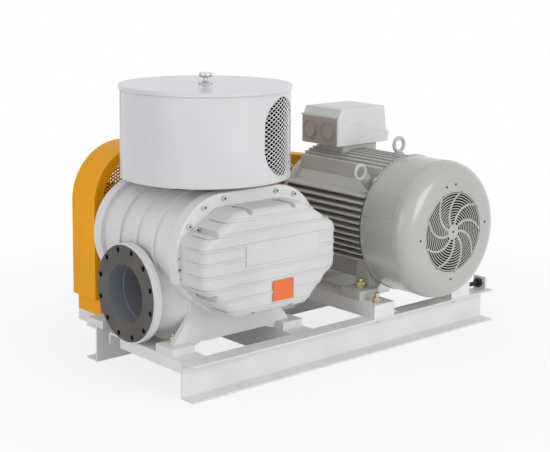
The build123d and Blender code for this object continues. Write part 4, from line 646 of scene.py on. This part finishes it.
# ---------------------------------------------------------------- fasteners
def solids_of(name):
    """(low, high) corners of each separate solid of a CAD node."""
    bm = bmesh.new()
    bm.from_mesh(nodes[name].data)
    bmesh.ops.remove_doubles(bm, verts=bm.verts, dist=1e-6)
    left = set(bm.verts)
    boxes = []
    while left:
        stack = [left.pop()]
        seen = list(stack)
        while stack:
            for edge in stack.pop().link_edges:
                for vertex in edge.verts:
                    if vertex in left:
                        left.remove(vertex)
                        stack.append(vertex)
                        seen.append(vertex)
        boxes.append((Vector([min(v.co[k] for v in seen) for k in range(3)]),
                      Vector([max(v.co[k] for v in seen) for k in range(3)])))
    bm.free()
    return boxes


SOCKET_R = 0.0042
SOCKET_RISE = 0.0004
EDGE_SCREWS = ((0.008, 0.0038), (-0.028, 0.0070), (-0.059, 0.0038))    # rise over the plate's middle, radius
EDGE_SCREW_INSET = 0.0085


def hex_sockets():
    """Dark hexagon sockets in the cap screws of the gear cover and its plate."""
    bm = bmesh.new()
    for low, high in solids_of("cover_bolts"):
        centre = (low + high) / 2
        front = centre.y < drum_middle.y
        at = Vector((centre.x, low.y if front else high.y, centre.z))
        add_prism(bm, 6, SOCKET_R, SOCKET_RISE, frame_at(at, (0, -1 if front else 1, 0)))
    finish_piece("screw_sockets", bm, DARK_HOLE, ROOT)


def edge_screws():
    """Socket plugs down the left edge of the gear end plate, with dark hexagons in them."""
    low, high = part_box("gear_end_plate")
    radius = (high.z - low.z) / 2
    head_top = 0.0026
    heads = bmesh.new()
    holes = bmesh.new()
    for rise, r in EDGE_SCREWS:
        x = low.x + radius - (radius ** 2 - rise ** 2) ** 0.5 + EDGE_SCREW_INSET
        matrix = frame_at(Vector((x, low.y, (low.z + high.z) / 2 + rise)), (0, -1, 0))
        add_lathe(heads, [(r, -HEAD_SUNK), (r, 0.0018), (r - 0.001, head_top), (0.0, head_top)], matrix, 20)
        add_prism(holes, 6, r * 0.6, head_top + 0.0003, matrix)
    finish_piece("edge_plugs", heads, COVER_PAINT, ROOT, True)
    finish_piece("edge_plug_sockets", holes, DARK_HOLE, ROOT)


hex_sockets()
edge_screws()

THREAD_PITCH = 0.002
COARSE_CREST = 0.00056
FINE_CREST = 0.0002       # low enough to pass through the rails' holes
M16_R = 0.008
M20_R = 0.010
SHOWN_FROM = 0.13         # bolts that end lower than this show no thread
STUDS = (("foot_bolts", ROOT, M16_R, 0.008), ("rail_bolts", CARRIAGE, M16_R, 0.016),
         ("motor_foot_bolts", CARRIAGE, M20_R, 0.009))
LOCK_NUT_DEPTH = 0.016
NUT_CLEAR = 0.002
BOLT_END_IN = 0.011
BOLT_END_THREAD = 0.010


def thread(bm, matrix, radius, length, crest):
    """Rings of a screw thread round the matrix's +Z axis."""
    profile = []
    count = int(length / THREAD_PITCH)
    for i in range(count):
        profile += [(radius, i * THREAD_PITCH), (radius + crest, (i + 0.5) * THREAD_PITCH)]
    profile.append((radius, count * THREAD_PITCH))
    add_lathe(bm, profile, matrix, 20)


def stud_threads():
    """Threads on the ends of the upright bolts."""
    for name, body, radius, length in STUDS:
        bm = bmesh.new()
        for low, high in solids_of(name):
            if high.z >= SHOWN_FROM:
                centre = (low + high) / 2
                at = Vector((centre.x, centre.y, high.z - length))
                thread(bm, Matrix.Translation(at), radius, length, COARSE_CREST)
        finish_piece(name + "_threads", bm, ZINC, body, True)


def tension_threads():
    """Fine threads on the tension bolts, between the rail's nut and the lock nut and at the bolt's end."""
    nut_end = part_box("motor_rails")[1].x
    lock_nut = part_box("tension_brackets")[0].x - LOCK_NUT_DEPTH
    for name in ("tension_bolt_front", "tension_bolt_rear"):
        low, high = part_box(name)
        centre = (low + high) / 2
        bm = bmesh.new()
        for x, length in ((nut_end + NUT_CLEAR, lock_nut - nut_end - 2 * NUT_CLEAR),
                          (high.x - BOLT_END_IN, BOLT_END_THREAD)):
            thread(bm, frame_at(Vector((x, centre.y, centre.z)), (1, 0, 0)), M16_R, length, FINE_CREST)
        finish_piece(name + "_thread", bm, BLACK_STEEL, name, True)


stud_threads()
tension_threads()

COWL_R = 0.245
COWL_SHOULDER = 0.062
COWL_BEAD = 0.0012
RIM_BEAD_IN = 0.024
RIM_SCREW_IN = 0.013
LAP_ANGLE = radians(193)
LAP_HALF_WIDTH = 0.0012
LAP_RISE = 0.0007
LAP_END = 0.004           # the lap stops this far from the cowl's rear edge
SCREW_ANGLES = (5, 88, 104, 183, 268)
SCREW_RING_OUT = 0.022
RIM_SCREWS = 4
RIM_SCREW_R = 0.0075
RIM_SCREW_RISE = 0.0045


def cowl_screws():
    """Flush screws round the grille and in its boss, the cowl's seams and beads, and its rim screws."""
    low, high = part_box("fan_cowl")
    centre = (low + high) / 2
    grille_low, grille_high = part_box("fan_grille")
    ring_r = (grille_high.x - grille_low.x) / 2 + SCREW_RING_OUT
    head = [(0.0048, -SUNK), (0.0045, 0.0001), (0.0, 0.0001)]
    places = [Vector((centre.x + ring_r * cos(radians(a)), low.y, centre.z + ring_r * sin(radians(a))))
              for a in SCREW_ANGLES] + [Vector((centre.x, grille_low.y, centre.z))]
    dark = bmesh.new()
    for at in places:
        add_lathe(dark, head, frame_at(at, (0, -1, 0)), 16)
    finish_piece("cowl_face_screws", dark, BLACK_STEEL, CARRIAGE, True)
    seam = bmesh.new()
    for y in (low.y + COWL_SHOULDER, high.y - RIM_BEAD_IN):
        bead_ring(seam, COWL_R, COWL_BEAD, 6, frame_at(Vector((centre.x, y, centre.z)), (0, 1, 0)))
    add_box(seam, (COWL_R - SUNK, low.y + COWL_SHOULDER, -LAP_HALF_WIDTH),
            (COWL_R + LAP_RISE, high.y - LAP_END, LAP_HALF_WIDTH),
            Matrix.Translation((centre.x, 0, centre.z)) @ Matrix.Rotation(LAP_ANGLE, 4, "Y"))
    finish_piece("cowl_seam", seam, COWL_PAINT, CARRIAGE, True)
    rim = bmesh.new()
    for k in range(RIM_SCREWS):
        a = 2 * pi * (k + 0.5) / RIM_SCREWS
        out = Vector((cos(a), 0, sin(a)))
        at = Vector((centre.x, high.y - RIM_SCREW_IN, centre.z)) + out * COWL_R
        add_prism(rim, 6, RIM_SCREW_R, RIM_SCREW_RISE, frame_at(at, out))
    finish_piece("cowl_rim_screws", rim, ZINC, CARRIAGE)


cowl_screws()

KNOCKOUT_R = 0.036
KNOCKOUT_LINE = 0.0012
PLUG_STEP = 0.004         # the knockouts stand this far out of the box
LID_EDGE_Z = (0.778, 0.704)       # height of the lid's sloping edge at -X and at +X
LID_SCREW_RISE = 0.007


def box_screws():
    """Terminal box: lid screws, lines and centre marks of the knockouts, and the lid's raised panel."""
    low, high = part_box("terminal_box_lid")
    slope = (LID_EDGE_Z[1] - LID_EDGE_Z[0]) / (high.x - low.x)
    bm = bmesh.new()
    for x in (low.x + 0.014, high.x - 0.010):
        for y in (low.y + 0.008, high.y - 0.008):
            z = LID_EDGE_Z[0] + slope * (x - low.x) + LID_SCREW_RISE
            add_lathe(bm, [(0.0065, -HEAD_SUNK), (0.0065, 0.003), (0.0045, 0.0045), (0.0, 0.005)],
                      Matrix.Translation((x, y, z)), 14)
    finish_piece("terminal_lid_screws", bm, STEEL, CARRIAGE, True)
    rings = bmesh.new()
    for plug_low, plug_high in solids_of("knockout_plugs"):
        centre = (plug_low + plug_high) / 2
        at = Vector((plug_low.x, centre.y, centre.z))
        add_lathe(rings, [(KNOCKOUT_R - KNOCKOUT_LINE, PLUG_STEP - 0.0005), (KNOCKOUT_R, PLUG_STEP + 0.0012),
                          (KNOCKOUT_R + KNOCKOUT_LINE, PLUG_STEP - 0.0005)],
                  frame_at(at + Vector((PLUG_STEP, 0, 0)), (-1, 0, 0)), 48)
        add_lathe(rings, [(0.0, 0.0014), (0.003, 0.0010), (0.004, 0.0)], frame_at(at, (-1, 0, 0)), 20)
    # the knockout rings take the painted shade of the box's -X side
    finish_piece("knockout_rings", rings, BOX_SIDE_PAINTED_SHADE, CARRIAGE)
    panel = bmesh.new()
    add_box(panel, (low.x + 0.045, low.y + 0.03, high.z - 0.001),
            (high.x - 0.052, high.y - 0.03, high.z + 0.0016))
    raised = finish_piece("terminal_lid_panel", panel, BOX_PAINT, CARRIAGE)
    edge = raised.modifiers.new("edge", "BEVEL")
    edge.width = 0.0012


box_screws()

# ---------------------------------------------------------------- weld beads on the base
RIPPLE = 0.006
RIPPLE_LOW = 0.84         # the thin rings' radius as a share of the thick ones'
BEAM_WELD_R = 0.0035
PLATE_WELD_R = 0.003
FLANGE_CLEAR = 0.004


def weld(bm, start, end, radius):
    """Fillet weld bead with its ripples, along a straight seam."""
    run = end - start
    count = max(3, int(run.length / RIPPLE))
    profile = [(0.0, 0.0)]
    for i in range(count):
        profile.append((radius * (1.0 if i % 2 else RIPPLE_LOW), run.length * (i + 0.5) / count))
    profile.append((0.0, run.length))
    add_lathe(bm, profile, frame_at(start, run.normalized()), 8)


def base_welds():
    """Upright beads at the ends of the cross members and beads under the tension bolts' plates."""
    bm = bmesh.new()
    for name, both_ends in (("left_cross_member", False), ("right_cross_member", True)):
        low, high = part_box(name)
        for y in (low.y, high.y) if both_ends else (low.y,):
            for x in (low.x, high.x):
                weld(bm, Vector((x, y, low.z)), Vector((x, y, high.z - FLANGE_CLEAR)), BEAM_WELD_R)
    for low, high in solids_of("tension_brackets"):
        for x in (low.x, high.x):
            weld(bm, Vector((x, low.y, low.z)), Vector((x, high.y, low.z)), PLATE_WELD_R)
    finish_piece("base_weld_beads", bm, BASE_PAINT, ROOT, True)


base_welds()

# ---------------------------------------------------------------- oil fittings on the gear end
PLUG_PLACE = (0.020, 0.055)       # +X of the cover's middle, and in from its face
GLASS_PLACE = (0.062, 0.090)      # in from the cover's face, and up from its foot
DRAIN_PLUG_R = 0.012
DRAIN_PLUG_DEPTH = 0.010


def oil_fittings():
    """Drain plug under the gear cover and the sight glass in its far side."""
    low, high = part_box("gear_cover")
    plug = bmesh.new()
    at = Vector(((low.x + high.x) / 2 + PLUG_PLACE[0], low.y + PLUG_PLACE[1], low.z))
    add_prism(plug, 6, DRAIN_PLUG_R, DRAIN_PLUG_DEPTH, frame_at(at, (0, 0, -1)))
    finish_piece("oil_plugs", plug, ZINC, ROOT)
    glass = bmesh.new()
    at = Vector((high.x - SUNK, low.y + GLASS_PLACE[0], low.z + GLASS_PLACE[1]))
    add_lathe(glass, [(0.017, 0.0), (0.017, 0.006), (0.013, 0.008), (0.011, 0.005), (0.0, 0.005)],
              frame_at(at, (1, 0, 0)), 28)
    finish_piece("oil_sight_glass", glass, STEEL, ROOT, True)


oil_fittings()

# ---------------------------------------------------------------- floor, light and camera
FLOOR_HALF = 14.0
FADE_NEAR = 0.8
FADE_FAR = 2.0
WHITE_NEAR = 0.80         # share of plain white in the floor by the object, where its shadow falls


def seen_directly(tree):
    """1 for a ray from the camera, a reflection or a transmission, and 0 for the light on the object."""
    path = tree.nodes.new("ShaderNodeLightPath")
    total = path.outputs["Is Camera Ray"]
    for kind in ("Is Glossy Ray", "Is Transmission Ray"):
        larger = tree.nodes.new("ShaderNodeMath")
        larger.operation = "MAXIMUM"
        tree.links.new(total, larger.inputs[0])
        tree.links.new(path.outputs[kind], larger.inputs[1])
        total = larger.outputs[0]
    return total


def floor():
    """Pale floor that fades to white away from the object and keeps its shadow."""
    bm = bmesh.new()
    add_box(bm, (-FLOOR_HALF, -FLOOR_HALF, -0.02), (FLOOR_HALF, FLOOR_HALF, -0.0002))
    mesh = bpy.data.meshes.new("floor")
    bm.to_mesh(mesh)
    bm.free()
    g = Graph("floor")
    g.shader.inputs["Base Color"].default_value = (0.86, 0.86, 0.86, 1.0)
    g.shader.inputs["Roughness"].default_value = 0.9
    white = g.add("ShaderNodeEmission")
    length = g.add("ShaderNodeVectorMath", operation="LENGTH")
    g.link(g.place, length.inputs[0])
    fade = g.add("ShaderNodeMapRange")
    fade.inputs["From Min"].default_value = FADE_NEAR
    fade.inputs["From Max"].default_value = FADE_FAR
    fade.inputs["To Min"].default_value = WHITE_NEAR
    g.link(length.outputs["Value"], fade.inputs["Value"])
    share = g.add("ShaderNodeMath", operation="MULTIPLY")
    g.link(seen_directly(g.tree), share.inputs[0])
    g.link(fade.outputs["Result"], share.inputs[1])
    mix = g.add("ShaderNodeMixShader")
    g.link(share.outputs[0], mix.inputs["Fac"])
    g.link(g.shader.outputs[0], mix.inputs[1])
    g.link(white.outputs[0], mix.inputs[2])
    g.link(mix.outputs[0], g.tree.nodes["Material Output"].inputs["Surface"])
    mesh.materials.append(g.material)
    plane = bpy.data.objects.new("floor", mesh)
    scene.collection.objects.link(plane)


def studio():
    """Soft cool fill on the object, and plain white where the background is seen."""
    world = bpy.data.worlds.new("studio")
    scene.world = world
    world.use_nodes = True
    tree = world.node_tree
    fill = tree.nodes["Background"]
    fill.inputs["Color"].default_value = (0.93, 0.95, 1.0, 1.0)
    fill.inputs["Strength"].default_value = 0.60
    white = tree.nodes.new("ShaderNodeBackground")
    white.inputs["Color"].default_value = (1.0, 1.0, 1.0, 1.0)
    choose = tree.nodes.new("ShaderNodeMixShader")
    tree.links.new(seen_directly(tree), choose.inputs["Fac"])
    tree.links.new(fill.outputs[0], choose.inputs[1])
    tree.links.new(white.outputs[0], choose.inputs[2])
    tree.links.new(choose.outputs[0], tree.nodes["World Output"].inputs["Surface"])


LAMP_TARGET = Vector((0, 0, 0.4))
LAMP_SIZE = 2.6


def lamp(name, place, power):
    """Soft square lamp aimed at the object."""
    light = bpy.data.lights.new(name, "AREA")
    light.energy = power
    light.size = LAMP_SIZE
    light_object = bpy.data.objects.new(name, light)
    scene.collection.objects.link(light_object)
    light_object.location = place
    light_object.rotation_euler = (LAMP_TARGET - Vector(place)).to_track_quat("-Z", "Y").to_euler()


floor()
studio()
lamp("key", (0.6, -4.6, 1.9), 82.0)
lamp("side", (-4.2, -0.8, 1.6), 28.0)
lamp("top", (0.2, 0.4, 3.6), 8.0)

# the camera that the photograph's lines agree with
CAMERA_AT = Vector((-2.9896, -3.2973, 1.3835))
CAMERA_AZIMUTH = radians(-41.2)
CAMERA_ELEVATION = radians(8.9)
CAMERA_ROLL = radians(0.5)
LENS = 82.8
SHIFT_Y = -0.1376

back = Vector((sin(CAMERA_AZIMUTH) * cos(CAMERA_ELEVATION), -cos(CAMERA_AZIMUTH) * cos(CAMERA_ELEVATION),
               sin(CAMERA_ELEVATION)))
right = Vector((0, 0, 1)).cross(back).normalized()
up = back.cross(right)
rolled_right = cos(CAMERA_ROLL) * right + sin(CAMERA_ROLL) * up
rolled_up = cos(CAMERA_ROLL) * up - sin(CAMERA_ROLL) * right
camera_data = bpy.data.cameras.new("camera")
camera_data.lens = LENS
camera_data.shift_y = SHIFT_Y
camera = bpy.data.objects.new("camera", camera_data)
scene.collection.objects.link(camera)
camera.matrix_world = Matrix.Translation(CAMERA_AT) @ Matrix(
    (rolled_right, rolled_up, back)).transposed().to_4x4()
scene.camera = camera
scene.view_settings.view_transform = "Standard"
